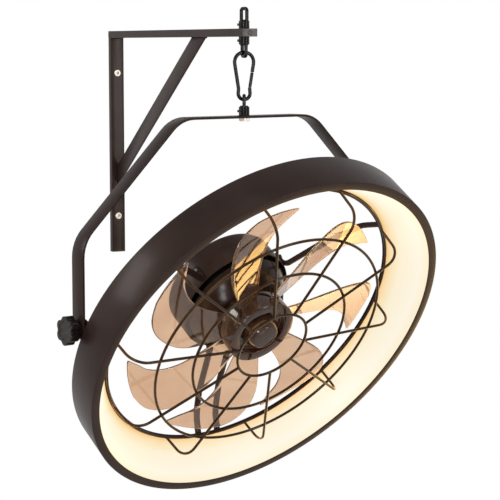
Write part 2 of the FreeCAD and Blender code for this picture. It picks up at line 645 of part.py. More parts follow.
hub_inner_r = HUB_R - HUB_WALL
recess_back = recess_floor - HUB_WALL
hub = revolved([(SHAFT_R, COVER_FRONT), (HUB_BOSS_R, COVER_FRONT), (HUB_BOSS_R, recess_back),
                (HUB_RECESS_R + HUB_WALL, recess_back), (HUB_RECESS_R + HUB_WALL, HUB_FRONT - HUB_WALL),
                (hub_inner_r, HUB_FRONT - HUB_WALL), (hub_inner_r, COVER_FRONT), (HUB_R, COVER_FRONT),
                (HUB_R, HUB_FRONT), (HUB_RECESS_R, HUB_FRONT), (HUB_RECESS_R, recess_floor),
                (SHAFT_R, recess_floor)])
impeller = hub.multiFuse(round_about(blade, BLADE_COUNT, BLADE_TURN))
save("impeller", impeller, head_place)

# Hub cap: the round nut that holds the impeller on the shaft
cap = revolved([(0, recess_floor), (CAP_R, recess_floor), (CAP_R, recess_floor + HUB_RECESS_DEPTH),
                (CAP_TOP_R, CAP_FRONT), (0, CAP_FRONT)])
save("hub_cap", cap, head_place)

# Motor arms: bent flat bars from the cup's side to the back of the plate, with a screw at each end
def motor_arm(offset):
    """One arm in the plane Y = offset, reaching along X, and its two screws."""
    near = max(abs(offset) - ARM_BAR_WIDTH / 2, 0)
    seat = math.sqrt(CUP_R ** 2 - near ** 2)
    middle = seat + ARM_BAR_THICK / 2
    plate_line = DRUM_BACK - ARM_BAR_THICK / 2
    foot = plate_inner_r + ARM_ON_PLATE
    points = [V(middle, 0, ARM_LEAVES_CUP - ARM_FOOT), V(middle, 0, ARM_LEAVES_CUP),
              V(ARM_KNEE[0] * BLADE_R, 0, ARM_KNEE[1]), V(ARM_ELBOW[0] * BLADE_R, 0, ARM_ELBOW[1]),
              V(foot, 0, plate_line), V(foot + ARM_FOOT, 0, plate_line)]
    bar = strip(points, ARM_BENDS, ARM_BAR_THICK, ARM_BAR_WIDTH)
    cup_face = seat + ARM_BAR_THICK
    cup_screw = cylinder(ARM_SCREW_R, cup_face, cup_face + ARM_SCREW_HEAD, X_AXIS,
                         V(0, 0, ARM_LEAVES_CUP - ARM_FOOT * ARM_SCREW_SHARE))
    plate_face = DRUM_BACK - ARM_BAR_THICK
    plate_screw = cylinder(ARM_SCREW_R, plate_face - ARM_SCREW_HEAD, plate_face, Z_AXIS,
                           V(foot + ARM_FOOT * ARM_SCREW_SHARE, 0, 0))
    for piece in (bar, cup_screw, plate_screw):
        piece.translate(V(0, offset, 0))
    return bar, [cup_screw, plate_screw]


arm_screws = []
set_top = ARM_SET_TURN + 90
arm_places = [("right_motor_arm", set_top - SIDE_ARM_SPREAD, 0.0), ("left_motor_arm", set_top + SIDE_ARM_SPREAD, 0.0),
              ("lower_right_motor_arm", set_top + 180, LOWER_ARM_OFFSET),
              ("lower_left_motor_arm", set_top + 180, -LOWER_ARM_OFFSET)]
for name, turn, offset in arm_places:
    bar, screws = motor_arm(offset)
    save(name, turned(bar, turn), head_place)
    arm_screws += [turned(screw, turn) for screw in screws]
save("motor_arm_screws", Part.makeCompound(arm_screws), head_place)

# Tilt pivots: an ear on each side of the plate, with a spacer, a nut and its screws
ear = block(V(ear_inner, -EAR_HALF, 0), V(ear_outer, EAR_HALF, DRUM_BACK))
ear = ear.fuse(cylinder(EAR_HALF, ear_inner, ear_outer, X_AXIS))
ear = ear.fuse(block(V(ear_outer - EAR_FOOT, -EAR_HALF, DRUM_BACK - EAR_THICK), V(ear_outer, EAR_HALF, DRUM_BACK)))
ear = ear.removeSplitter().cut(cylinder(STUD_R + RUNNING_FIT, ear_inner, ear_outer, X_AXIS))
spacer = tube(SPACER_R, STUD_R + RUNNING_FIT, ear_outer, ear_outer + SPACER_LENGTH, X_AXIS)
pivot_nut = hexagon_nut(PIVOT_NUT_FLATS, STUD_R + RUNNING_FIT, ear_inner - PIVOT_NUT_HEIGHT, ear_inner, X_AXIS)
ear_screw_x = ear_outer - EAR_FOOT * EAR_SCREW_SHARE
ear_screw_face = DRUM_BACK - EAR_THICK
ear_screws = []
for side in (-EAR_HALF / 2, EAR_HALF / 2):
    ear_screws.append(cylinder(ARM_SCREW_R, ear_screw_face - ARM_SCREW_HEAD, ear_screw_face, Z_AXIS,
                               V(ear_screw_x, side, 0)))
for side, turn in (("right", 0), ("left", 180)):
    save(side + "_pivot_ear", ear.mirror(V(), X_AXIS) if turn else ear, head_place)
    save(side + "_pivot_spacer", spacer.mirror(V(), X_AXIS) if turn else spacer, head_place)
    save(side + "_pivot_nut", pivot_nut.mirror(V(), X_AXIS) if turn else pivot_nut, head_place)
ear_screws += [screw.mirror(V(), X_AXIS) for screw in ear_screws]
save("ear_screws", Part.makeCompound(ear_screws), head_place)

# Knobs: a lobed hand knob, its threaded stud and a washer on each leg of the yoke
washer_out = leg_outer + FACE_GAP + WASHER_THICK
skirt_out = washer_out + KNOB_SKIRT
knob_out = skirt_out + KNOB_HEAD
stud_in = ear_inner - PIVOT_NUT_HEIGHT - STUD_PAST_NUT
stud_out = skirt_out + KNOB_HEAD / 2
washer = tube(WASHER_R, STUD_R, leg_outer + FACE_GAP, washer_out, X_AXIS)
knob = cylinder(KNOB_R - KNOB_LOBE_R / 2, skirt_out, knob_out, X_AXIS)
lobe = cylinder(KNOB_LOBE_R, skirt_out, knob_out, X_AXIS, V(0, KNOB_R - KNOB_LOBE_R, 0))
knob = knob.multiFuse(round_about(lobe, KNOB_LOBES, 0.0, X_AXIS)).removeSplitter()
rim = [edge for edge in knob.Edges if edge.BoundBox.XMin > knob_out - FACE_GAP]
knob = knob.makeFillet(KNOB_EDGE_R, rim)
knob = knob.fuse(cylinder(KNOB_SKIRT_R, washer_out, skirt_out, X_AXIS)).removeSplitter()
stud = cylinder(STUD_R, stud_in, stud_out, X_AXIS)
knob = knob.cut(stud)
for side, turn in (("right", 0), ("left", 180)):
    save(side + "_knob", turned(knob, turn, Z_AXIS), yoke_place)
    save(side + "_stud", turned(stud, turn, Z_AXIS), yoke_place)
    save(side + "_washer", turned(washer, turn, Z_AXIS), yoke_place)
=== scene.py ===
import json
import math

import bmesh
import bpy
from mathutils import Matrix, Vector

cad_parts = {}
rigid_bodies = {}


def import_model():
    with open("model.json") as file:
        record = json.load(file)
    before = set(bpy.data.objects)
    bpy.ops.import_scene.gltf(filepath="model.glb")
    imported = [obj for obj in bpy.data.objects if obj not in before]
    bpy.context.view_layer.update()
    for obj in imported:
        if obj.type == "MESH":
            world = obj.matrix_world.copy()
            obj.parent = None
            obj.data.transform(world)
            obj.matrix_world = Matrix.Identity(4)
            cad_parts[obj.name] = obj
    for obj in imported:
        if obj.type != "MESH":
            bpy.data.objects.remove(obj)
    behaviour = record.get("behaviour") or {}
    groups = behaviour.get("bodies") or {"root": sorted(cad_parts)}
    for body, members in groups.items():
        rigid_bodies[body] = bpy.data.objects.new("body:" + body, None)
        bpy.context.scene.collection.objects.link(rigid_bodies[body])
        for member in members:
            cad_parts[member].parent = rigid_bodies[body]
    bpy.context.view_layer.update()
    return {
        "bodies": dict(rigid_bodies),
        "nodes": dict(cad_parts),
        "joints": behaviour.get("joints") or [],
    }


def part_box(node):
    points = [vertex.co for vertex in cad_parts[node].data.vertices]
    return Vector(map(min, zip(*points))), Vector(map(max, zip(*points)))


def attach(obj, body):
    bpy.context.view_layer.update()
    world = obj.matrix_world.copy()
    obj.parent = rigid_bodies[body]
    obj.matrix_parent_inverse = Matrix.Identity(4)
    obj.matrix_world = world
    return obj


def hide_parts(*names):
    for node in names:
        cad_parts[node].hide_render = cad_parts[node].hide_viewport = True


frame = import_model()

# Wall post
# A rectangular steel tube with rounded mill corners that stands flat on the wall and carries the rest.
# It is sawn to length, drilled for two screws, and powder coated dark bronze with the whole bracket.
TUBE_WALL = 0.0015
TUBE_CORNER = 0.0007
SCREW_HOLE_R = 0.0036
SCREW_HOLE_CUT = 0.05
MERGE = 0.000002
SHARP_EDGE = math.radians(50)
NOISE_LOW = 0.3
NOISE_HIGH = 0.7


def linear(hex_colour):
    """An sRGB hex colour as linear red, green, blue and alpha."""
    shares = [int(hex_colour[start:start + 2], 16) / 255 for start in (1, 3, 5)]
    return [s / 12.92 if s <= 0.04045 else ((s + 0.055) / 1.055) ** 2.4 for s in shares] + [1.0]


def set_all(thing, settings):
    """Set several values of a thing by name."""
    for name, value in settings.items():
        setattr(thing, name, value)


def feed(tree, node, feeds):
    """Set inputs of a shader node, each to a plain value or to the output of another node."""
    for socket, value in feeds.items():
        if isinstance(value, bpy.types.NodeSocket):
            tree.links.new(value, node.inputs[socket])
        else:
            node.inputs[socket].default_value = value


def add_node(tree, kind, feeds, **settings):
    """Add one shader node and feed it."""
    made = tree.nodes.new("ShaderNode" + kind)
    set_all(made, settings)
    feed(tree, made, feeds)
    return made


def ramp(tree, share, stops):
    """A colour ramp through (place, colour) stops, read at a share."""
    made = add_node(tree, "ValToRGB", {"Fac": share})
    for end in (0, -1):
        made.color_ramp.elements[end].position = stops[end][0]
        made.color_ramp.elements[end].color = linear(stops[end][1])
    for place, colour in stops[1:-1]:
        made.color_ramp.elements.new(place).color = linear(colour)
    return made.outputs["Color"]


def mottled(name, dark, light, patch, grain, dent, roughness, spread, surface_values):
    """A finish whose tone drifts in soft patches of one size, with a finer grain in its gloss and relief.
    Dent is the depth of the relief, and spread is how far the roughness strays."""
    finish = bpy.data.materials.new(name)
    finish.use_nodes = True
    tree = finish.node_tree
    place = add_node(tree, "TexCoord", {}).outputs["Object"]
    drift = add_node(tree, "TexNoise", {"Vector": place, "Scale": 1 / patch, "Detail": 3.0})
    tones = ramp(tree, drift.outputs["Fac"], ((NOISE_LOW, dark), (NOISE_HIGH, light)))
    fine = add_node(tree, "TexNoise", {"Vector": place, "Scale": 1 / grain, "Detail": 2.0}).outputs["Fac"]
    gloss = add_node(tree, "MapRange", {
        "Value": fine, "From Min": NOISE_LOW, "From Max": NOISE_HIGH,
        "To Min": roughness - spread, "To Max": roughness + spread})
    relief = add_node(tree, "Bump", {"Height": fine, "Strength": 0.5, "Distance": dent})
    feed(tree, tree.nodes["Principled BSDF"], {
        "Base Color": tones, "Roughness": gloss.outputs["Result"], "Normal": relief.outputs["Normal"],
        **surface_values})
    return finish


def mode(kind):
    """Go to edit mode or back to object mode."""
    bpy.ops.object.mode_set(mode=kind)


def pick(piece, kind, test):
    """Select the vertices, edges or faces of a piece in edit mode that pass a test."""
    bpy.ops.mesh.select_mode(type={"verts": "VERT", "edges": "EDGE", "faces": "FACE"}[kind])
    bpy.ops.mesh.select_all(action="DESELECT")
    drawn = bmesh.from_edit_mesh(piece.data)
    for item in getattr(drawn, kind):
        item.select_set(test(item))
    bmesh.update_edit_mesh(piece.data)


def only(*pieces):
    """Select these pieces and nothing else, with the first of them active."""
    bpy.ops.object.select_all(action="DESELECT")
    for piece in pieces:
        piece.select_set(True)
    bpy.context.view_layer.objects.active = pieces[0]


def work(piece, kind, **settings):
    """Give a piece one modifier and apply it."""
    only(piece)
    modifier = piece.modifiers.new("work", kind)
    set_all(modifier, settings)
    bpy.ops.object.modifier_apply(modifier=modifier.name)


def clean(piece, edge=0.0, steps=2, smooth=35):
    """Merge doubles, turn the faces outward, round the sharp edges and shade the piece."""
    only(piece)
    mode("EDIT")
    bpy.ops.mesh.select_all(action="SELECT")
    bpy.ops.mesh.remove_doubles(threshold=MERGE)
    bpy.ops.mesh.normals_make_consistent(inside=False)
    mode("OBJECT")
    if edge:
        work(piece, "BEVEL", width=edge, segments=steps, limit_method="ANGLE", angle_limit=SHARP_EDGE)
    bpy.ops.object.shade_smooth_by_angle(angle=math.radians(smooth))
    return piece


def cut_away(piece, cutter):
    """Cut one shape out of a piece."""
    work(piece, "BOOLEAN", operation="DIFFERENCE", solver="EXACT", object=cutter)
    bpy.data.objects.remove(cutter)


def seat(piece, finish, body, slot, *nodes):
    """Give a piece its finish, carry it on its body, and let it stand for its CAD parts."""
    piece.data.materials.clear()
    piece.data.materials.append(finish)
    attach(piece, body)
    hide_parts(*nodes)


def fixed(name):
    """The piece that was just added, named, with its place and its size worked into its mesh."""
    piece = bpy.context.object
    piece.name = name
    bpy.ops.object.transform_apply(location=True, rotation=True, scale=True)
    return piece


def square_tube(name, low, high, along):
    """A rectangular tube between two corners, open at both ends of one axis."""
    bpy.ops.object.select_all(action="DESELECT")
    bpy.ops.mesh.primitive_cube_add(size=1, location=(low + high) / 2, scale=high - low)
    tube = fixed(name)
    mode("EDIT")
    pick(tube, "faces", lambda face: abs(face.normal[along]) > 0.5)
    bpy.ops.mesh.delete(type="FACE")
    half = (high - low)[along] / 2
    pick(tube, "edges", lambda edge: abs((edge.verts[0].co - edge.verts[1].co)[along]) > half)
    bpy.ops.mesh.bevel(offset=TUBE_CORNER, segments=4, affect="EDGES")
    mode("OBJECT")
    work(tube, "SOLIDIFY", thickness=TUBE_WALL, offset=-1)
    return tube


# Powder coat is baked paint: a satin skin, close to even in colour, with the faint pebble of fused powder.
# The pebble of a real coat is about half a millimetre, drawn here at twice that so that it shows.
bronze_coat = mottled("bronze powder coat", "#221815", "#2B1F1B", 0.060, 0.0010, 0.00010, 0.40, 0.07, {
    "Specular IOR Level": 0.08, "Specular Tint": linear("#E8D2C6"), "Coat Weight": 0.08,
    "Coat Roughness": 0.2})
post_low, post_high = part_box("wall_post")
eyelet_low, eyelet_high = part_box("screw_eyelets")
eyelet_r = (eyelet_high.x - eyelet_low.x) / 2
screw_heights = (eyelet_low.z + eyelet_r, eyelet_high.z - eyelet_r)
post = square_tube("post_tube", post_low, post_high, 2)
for height in screw_heights:
    bpy.ops.mesh.primitive_cylinder_add(
        vertices=48, radius=SCREW_HOLE_R, depth=SCREW_HOLE_CUT, location=(0, 0, height),
        rotation=(math.pi / 2, 0, 0))
    cut_away(post, bpy.context.object)
clean(post)
seat(post, bronze_coat, "bracket", "bronze_paint", "wall_post")

# Arm
# The same tube, laid across the top of the post and reaching into the room, welded on at the wall end.
# The hanger's stem passes down through it close to its far end.
arm_low, arm_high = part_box("arm_bar")
arm = clean(square_tube("arm_tube", arm_low, arm_high, 1))
seat(arm, bronze_coat, "bracket", "bronze_paint", "arm_bar")

# Brace
# A flat steel bar on edge between the post and the arm, cut at both ends to lie flat against the tubes.
# It is welded to both and coated with them.
BRACE_WIDTH = 0.024
BRACE_EDGE = 0.0005
brace_low, brace_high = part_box("brace_bar")
brace_rise = brace_high.z - brace_low.z
brace_reach = brace_high.y - brace_low.y
brace_thick = brace_high.x - brace_low.x
brace_slope = math.atan2(brace_rise, brace_reach)
brace_across = Vector((0, math.sin(brace_slope), math.cos(brace_slope)))
brace_middle = (brace_low + brace_high) / 2
bpy.ops.object.select_all(action="DESELECT")
bpy.ops.mesh.primitive_cube_add(
    size=1, location=brace_middle + brace_across * (BRACE_WIDTH / 2),
    rotation=(math.pi - brace_slope, 0, 0), scale=(brace_thick, 2 * brace_reach, BRACE_WIDTH))
brace = fixed("brace_flat")
mode("EDIT")
for cut_at, outward in (((0, brace_high.y, 0), (0, 1, 0)), ((0, 0, brace_high.z), (0, 0, 1))):
    bpy.ops.mesh.select_all(action="SELECT")
    bpy.ops.mesh.bisect(plane_co=cut_at, plane_no=outward, use_fill=True, clear_outer=True)
mode("OBJECT")
clean(brace, BRACE_EDGE)
seat(brace, bronze_coat, "bracket", "bronze_paint", "brace_bar")

# Weld beads
# Short fillets of weld in the corners where the arm and the brace meet the tubes, under the same coat.
# Each is laid as a row of overlapping ripples.
BEAD_R = 0.0016
BEAD_RIPPLES = 14
BEAD_VALLEY = 0.86
POST_BEAD_SHARE = 0.9


def weld_bead(middle, length):
    """A rippled bead of weld along X."""
    bpy.ops.object.select_all(action="DESELECT")
    bpy.ops.mesh.primitive_cylinder_add(
        vertices=12, radius=BEAD_R, depth=length, rotation=(0, math.pi / 2, 0))
    bead = fixed("bead")
    mode("EDIT")
    pick(bead, "edges", lambda edge: abs((edge.verts[0].co - edge.verts[1].co).x) > length / 2)
    bpy.ops.mesh.subdivide(number_cuts=2 * BEAD_RIPPLES - 1)
    for step in range(1, 2 * BEAD_RIPPLES, 2):
        valley = length * (step / (2 * BEAD_RIPPLES) - 0.5)
        pick(bead, "verts", lambda vertex: abs(vertex.co.x - valley) < length / (8 * BEAD_RIPPLES))
        bpy.ops.transform.resize(value=(1, BEAD_VALLEY, BEAD_VALLEY), center_override=(valley, 0, 0))
    mode("OBJECT")
    bead.data.transform(Matrix.Translation(middle))
    return bead


def joined(name, pieces):
    """Several meshes as one piece."""
    only(*pieces)
    bpy.ops.object.join()
    pieces[0].name = name
    return pieces[0]


tube_width = post_high.x - post_low.x
brace_upper_z = brace_low.z + BRACE_WIDTH / math.cos(brace_slope)
brace_inner_y = brace_low.y + BRACE_WIDTH / math.sin(brace_slope)
beads = [weld_bead((0, post_low.y, post_high.z), tube_width * POST_BEAD_SHARE)]
for at_y, at_z in ((brace_high.y, brace_upper_z), (brace_high.y, brace_low.z),
                   (brace_inner_y, brace_high.z), (brace_low.y, brace_high.z)):
    beads.append(weld_bead((0, at_y, at_z), brace_thick))
welds = clean(joined("bracket_welds", beads), smooth=60)
seat(welds, bronze_coat, "bracket", "bronze_paint")

# End plugs
# Push-in caps moulded in grey polyethylene that close the open ends of the arm and the post.
# Each has a thin flange with soft edges and the round mark of the moulding gate in its middle.
PLUG_FLANGE = 0.0015
PLUG_EDGE = 0.0004
PLUG_MARK_R = 0.0024
PLUG_MARK_RIM = 0.0005


def end_plug(name, place):
    """A tube plug with its flange facing along local Z."""
    bpy.ops.object.select_all(action="DESELECT")
    bpy.ops.mesh.primitive_cube_add(
        size=1, location=(0, 0, -PLUG_FLANGE / 2),
        scale=(tube_width, post_high.y - post_low.y, PLUG_FLANGE))
    plug = fixed(name)
    bpy.ops.mesh.primitive_torus_add(
        major_segments=32, minor_segments=8, major_radius=PLUG_MARK_R, minor_radius=PLUG_MARK_RIM)
    cut_away(plug, bpy.context.object)
    plug.data.transform(place)
    return clean(plug, PLUG_EDGE)


# Polyethylene is waxy and half dull, a little lighter than the coat round it.
plug_plastic = mottled("moulded polyethylene", "#35302E", "#3F3937", 0.012, 0.0008, 0.00006, 0.5, 0.06, {})
arm_plug_at = Vector((0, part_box("arm_end_plug")[0].y, (arm_low.z + arm_high.z) / 2))
arm_plug = end_plug("arm_plug_cap", Matrix.Translation(arm_plug_at) @ Matrix.Rotation(math.pi / 2, 4, "X"))
seat(arm_plug, plug_plastic, "bracket", "plug_plastic", "arm_end_plug")
post_plug_at = Vector((0, (post_low.y + post_high.y) / 2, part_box("post_end_plug")[0].z))
post_plug = end_plug("post_plug_cap", Matrix.Translation(post_plug_at) @ Matrix.Rotation(math.pi, 4, "X"))
seat(post_plug, plug_plastic, "bracket", "plug_plastic", "post_end_plug")

# Screw eyelets
# Turned sleeves with a rolled flange, pressed through the post so that the screws don't crush the tube.
# They are left bright, so they show as pale rings on the dark post.
EYELET_BORE_R = 0.0025
EYELET_SHANK_R = 0.0035
EYELET_FLANGE = 0.0008
EYELET_FACE_SHARE = 0.8
EYELET_EDGE = 0.0002


def closed(piece):
    """Merge the doubles of a shell drawn in edit mode, close its open ends and leave edit mode."""
    bpy.ops.mesh.select_all(action="SELECT")
    bpy.ops.mesh.remove_doubles(threshold=MERGE)
    bpy.ops.mesh.fill_holes(sides=0)
    mode("OBJECT")
    return piece


def lathe(name, outline, steps=64):
    """A turned piece about Z: a circle drawn through the (radius, height) points of an outline."""
    radius, height = outline[0]
    bpy.ops.object.select_all(action="DESELECT")
    bpy.ops.mesh.primitive_circle_add(vertices=steps, radius=radius, location=(0, 0, height))
    piece = fixed(name)
    mode("EDIT")
    bpy.ops.mesh.select_all(action="SELECT")
    for next_radius, next_height in outline[1:]:
        bpy.ops.mesh.extrude_region_move(TRANSFORM_OT_translate={"value": (0, 0, next_height - height)})
        share = next_radius / radius
        bpy.ops.transform.resize(value=(share, share, 1), center_override=(0, 0, next_height))
        radius, height = next_radius, next_height
    return closed(piece)


def copy_of(piece):
    """A copy of a piece with a mesh of its own."""
    copy = piece.copy()
    copy.data = piece.data.copy()
    bpy.context.collection.objects.link(copy)
    return copy


# Nickel plate on brass: a pale warm metal, nearly a mirror, dulled a little by handling.
eyelet_nickel = mottled(
    "nickel plated brass", "#CABFB2", "#DCD2C6", 0.004, 0.0006, 0.00002, 0.38, 0.06, {"Metallic": 0.55})
eyelet_front = -eyelet_low.y
flange_back = eyelet_front - EYELET_FLANGE
sleeve = lathe("eyelet", [
    (EYELET_BORE_R, 0), (EYELET_BORE_R, eyelet_front), (eyelet_r * EYELET_FACE_SHARE, eyelet_front),
    (eyelet_r, flange_back + EYELET_FLANGE / 2), (eyelet_r, flange_back), (EYELET_SHANK_R, flange_back),
    (EYELET_SHANK_R, 0), (EYELET_BORE_R, 0)], steps=48)
sleeves = [sleeve, copy_of(sleeve)]
for sleeve, height in zip(sleeves, screw_heights):
    sleeve.data.transform(Matrix.Translation((0, 0, height)) @ Matrix.Rotation(math.pi / 2, 4, "X"))
eyelets = clean(joined("eyelet_sleeves", sleeves), EYELET_EDGE)
seat(eyelets, eyelet_nickel, "bracket", "pale_eyelet", "screw_eyelets")

# Hanger collars
# Round nuts turned from black steel bar with grip grooves, one above and one below the arm.
# Set screws lock them on the stem. They clamp nothing: the stem turns in the arm, so the fan swivels.
GRIP_GROOVES = 4
GRIP_DEPTH = 0.0004
COLLAR_EDGE = 0.0004


def joint(name):
    """The joint of that name in the frame."""
    return next(entry for entry in frame["joints"] if entry["name"] == name)


hang_axis = Vector(joint("hanger_swivel")["pos_m"])
hang_axis.z = 0


def collar(name, node, stem):
    """A grooved nut as large as a CAD collar, bored for its stem."""
    low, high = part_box(node)
    stem_low, stem_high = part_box(stem)
    bore = (stem_high.x - stem_low.x) / 2
    radius = (high.x - low.x) / 2
    half_pitch = (high.z - low.z) / (2 * GRIP_GROOVES + 1)
    outline = [(bore, low.z), (radius, low.z)]
    for step in range(GRIP_GROOVES):
        ridge = low.z + half_pitch * (2 * step + 1)
        outline += [(radius, ridge), (radius - GRIP_DEPTH, ridge + half_pitch / 2),
                    (radius, ridge + half_pitch)]
    nut = lathe(name, outline + [(radius, high.z), (bore, high.z), (bore, low.z)])
    nut.data.transform(Matrix.Translation(hang_axis))
    return clean(nut, COLLAR_EDGE, steps=3)


# Black oxide under oil: a deep glossy black that shows the lamps as sharp pale streaks.
black_steel = mottled(
    "black oxide steel", "#080706", "#12100F", 0.010, 0.0009, 0.00003, 0.16, 0.04,
    {"Specular IOR Level": 0.15})
for node in ("upper_collar", "lower_collar"):
    seat(collar(node + "_nut", node, "hanger_stem"), black_steel, "hanger", "black_steel", node)

# Hanger stem and set screws
# A plain steel stem through the arm, and the small set screws that hold the collars on it.
# They are stock parts in the same black finish.
STEM_EDGE = 0.0003
SET_SCREW_EDGE = 0.0002
FACET_MERGE = 0.000001


def dress(finish, edge, *nodes):
    """Give CAD parts that have the right shape their finish and slightly broken edges."""
    for name in nodes:
        part = frame["nodes"][name]
        part.data.materials.clear()
        part.data.materials.append(finish)
        set_all(part.modifiers.new("weld", "WELD"), {"merge_threshold": FACET_MERGE})
        set_all(part.modifiers.new("edge", "BEVEL"), {
            "width": edge, "segments": 2, "limit_method": "ANGLE", "angle_limit": SHARP_EDGE})


# Blackened zinc plate: a dull dark grey with a faint sheen.
screw_zinc = mottled(
    "black zinc plate", "#171514", "#262322", 0.004, 0.0005, 0.00002, 0.36, 0.07, {"Metallic": 0.4})
dress(black_steel, STEM_EDGE, "hanger_stem")
dress(screw_zinc, SET_SCREW_EDGE, "hanger_set_screws")

# Eye loops
# Square-shouldered eyes of bent rod on a round neck, one on each collar and one on the yoke's collar.
# The rod is bent hot over a former, brazed to its neck and blackened.
EYE_ROD_R = 0.00225
EYE_WIDTH = 0.0154
EYE_BEND_R = 0.003
EYE_NECK_R = 0.0054
EYE_NECK = 0.0014
EYE_NECK_EDGE = 0.0005
UPPER_EYE_TURN = math.radians(13)
ROD_SIDES = 20
BEND_STEP = math.radians(7.5)


def bent(name, section, points, bends, axis):
    """A bar bent as on a bench: its section runs straight and is spun round a bend at each inner point.
    A section is one radius or a (thickness, width) pair."""
    bpy.ops.object.select_all(action="DESELECT")
    if isinstance(section, tuple):
        bpy.ops.mesh.primitive_plane_add(size=1)
        outline = Matrix.Diagonal((section[0], section[1], 1, 1))
    else:
        bpy.ops.mesh.primitive_circle_add(vertices=ROD_SIDES, radius=section)
        outline = Matrix.Identity(4)
    bar = bpy.context.object
    bar.name = name
    axis = Vector(axis)
    points = [Vector(point) for point in points]
    runs = [after - before for before, after in zip(points, points[1:])]
    at, heading = points[0], runs[0].normalized()
    facing = Matrix((axis.cross(heading), axis, heading)).transposed().to_4x4()
    bar.data.transform(Matrix.Translation(at) @ facing @ outline)
    mode("EDIT")
    bpy.ops.mesh.select_all(action="SELECT")
    if isinstance(section, tuple):
        bpy.ops.mesh.delete(type="ONLY_FACE")
        bpy.ops.mesh.select_all(action="SELECT")
    used = 0
    for run, after, bend in zip(runs, runs[1:], bends):
        heading = run.normalized()
        angle = math.copysign(run.angle(after), run.cross(after).dot(axis))
        reach = bend * math.tan(abs(angle) / 2)
        straight = heading * (run.length - used - reach)
        bpy.ops.mesh.extrude_region_move(TRANSFORM_OT_translate={"value": straight})
        at = at + straight
        centre = at + axis.cross(heading) * math.copysign(bend, angle)
        bend_steps = max(2, round(abs(angle) / BEND_STEP))
        bpy.ops.mesh.spin(steps=bend_steps, angle=-angle, center=centre, axis=axis)
        at = centre + Matrix.Rotation(angle, 3, axis) @ (at - centre)
        used = reach
    bpy.ops.mesh.extrude_region_move(TRANSFORM_OT_translate={"value": points[-1] - at})
    return closed(bar)


def eye_loop(name, node, foot, turn):
    """An eye of rod on its neck, as tall as a CAD eye, with its foot at a height and turned there."""
    low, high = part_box(node)
    leg = EYE_WIDTH / 2 - EYE_ROD_R
    crown = high.z - low.z - EYE_ROD_R
    eye = clean(bent(name, EYE_ROD_R, [(0, -leg, 0), (0, -leg, crown), (0, leg, crown), (0, leg, 0)],
                     [EYE_BEND_R, EYE_BEND_R], (-1, 0, 0)))
    neck = clean(lathe("neck", [(EYE_NECK_R, 0), (EYE_NECK_R, EYE_NECK)]), EYE_NECK_EDGE)
    loop = joined(name, [eye, neck])
    loop.data.transform(Matrix.Translation(hang_axis + Vector((0, 0, foot))) @ turn)
    return loop


upper_loop = eye_loop("upper_eye", "upper_loop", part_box("upper_loop")[0].z,
                      Matrix.Rotation(UPPER_EYE_TURN, 4, "Z"))
seat(upper_loop, black_steel, "hanger", "black_steel", "upper_loop")
lower_loop = eye_loop("lower_eye", "lower_loop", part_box("lower_loop")[1].z,
                      Matrix.Rotation(math.pi, 4, "X"))
seat(lower_loop, black_steel, "hanger", "black_steel", "lower_loop")

# Snap hook
# A pear of blackened spring wire, wide at the top and pinched above its foot, open on one side for a gate.
# It links the hanger's lower eye with the yoke's eye, and a flat tang on its short end holds the gate.
HOOK_FLAT = 0.002
HOOK_PINCH_HALF = 0.0077
HOOK_PINCH_UP = 0.0134
HOOK_PINCH_R = 0.005
HOOK_FOOT_HALF = 0.0089
HOOK_FOOT_R = 0.0077
HOOK_END_EDGE = 0.0006
GATE_LOW_SHARE = 0.04
GATE_HIGH_SHARE = 0.66
TANG_SIZE = (0.0034, 0.0016)
TANG_SINK = 0.0005
hook_low, hook_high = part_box("snap_hook")
wire_r = (hook_high.y - hook_low.y) / 2
hook_top = hook_high.z - wire_r
hook_bottom = hook_low.z + wire_r
wide_r = hang_axis.x - hook_low.x - wire_r - HOOK_FLAT / 2
pinch = Vector((HOOK_PINCH_HALF, 0, hook_bottom + HOOK_PINCH_UP))
to_wide = Vector((HOOK_FLAT / 2, 0, hook_top - wide_r)) - pinch
hook_lean = math.atan2(to_wide.x, to_wide.z) + math.asin(wide_r / to_wide.length)
side_up = Vector((math.sin(hook_lean), 0, math.cos(hook_lean)))
side_run = math.sqrt(to_wide.length ** 2 - wide_r ** 2)
gate_foot = pinch + side_up * (side_run * GATE_LOW_SHARE)
gate_mouth = pinch + side_up * (side_run * GATE_HIGH_SHARE)
hook_top_x = pinch.x + (hook_top - pinch.z) * math.tan(hook_lean)
hook = bent("hook_wire", wire_r,
            [gate_mouth, (hook_top_x, 0, hook_top), (-hook_top_x, 0, hook_top), (-pinch.x, 0, pinch.z),
             (-HOOK_FOOT_HALF, 0, hook_bottom), (HOOK_FOOT_HALF, 0, hook_bottom), pinch, gate_foot],
            [wide_r, wide_r, HOOK_PINCH_R, HOOK_FOOT_R, HOOK_FOOT_R, HOOK_PINCH_R], (0, -1, 0))
clean(hook, HOOK_END_EDGE, steps=3)
gate_pin_at = Vector(joint("gate_press")["pos_m"]) - hang_axis
tang = bent("tang", TANG_SIZE, [gate_foot - side_up * TANG_SINK, gate_pin_at], [], (0, -1, 0))
hook = joined("hook_wire", [hook, clean(tang)])
hook.data.transform(Matrix.Translation(hang_axis))
seat(hook, black_steel, "hook", "black_steel", "snap_hook")

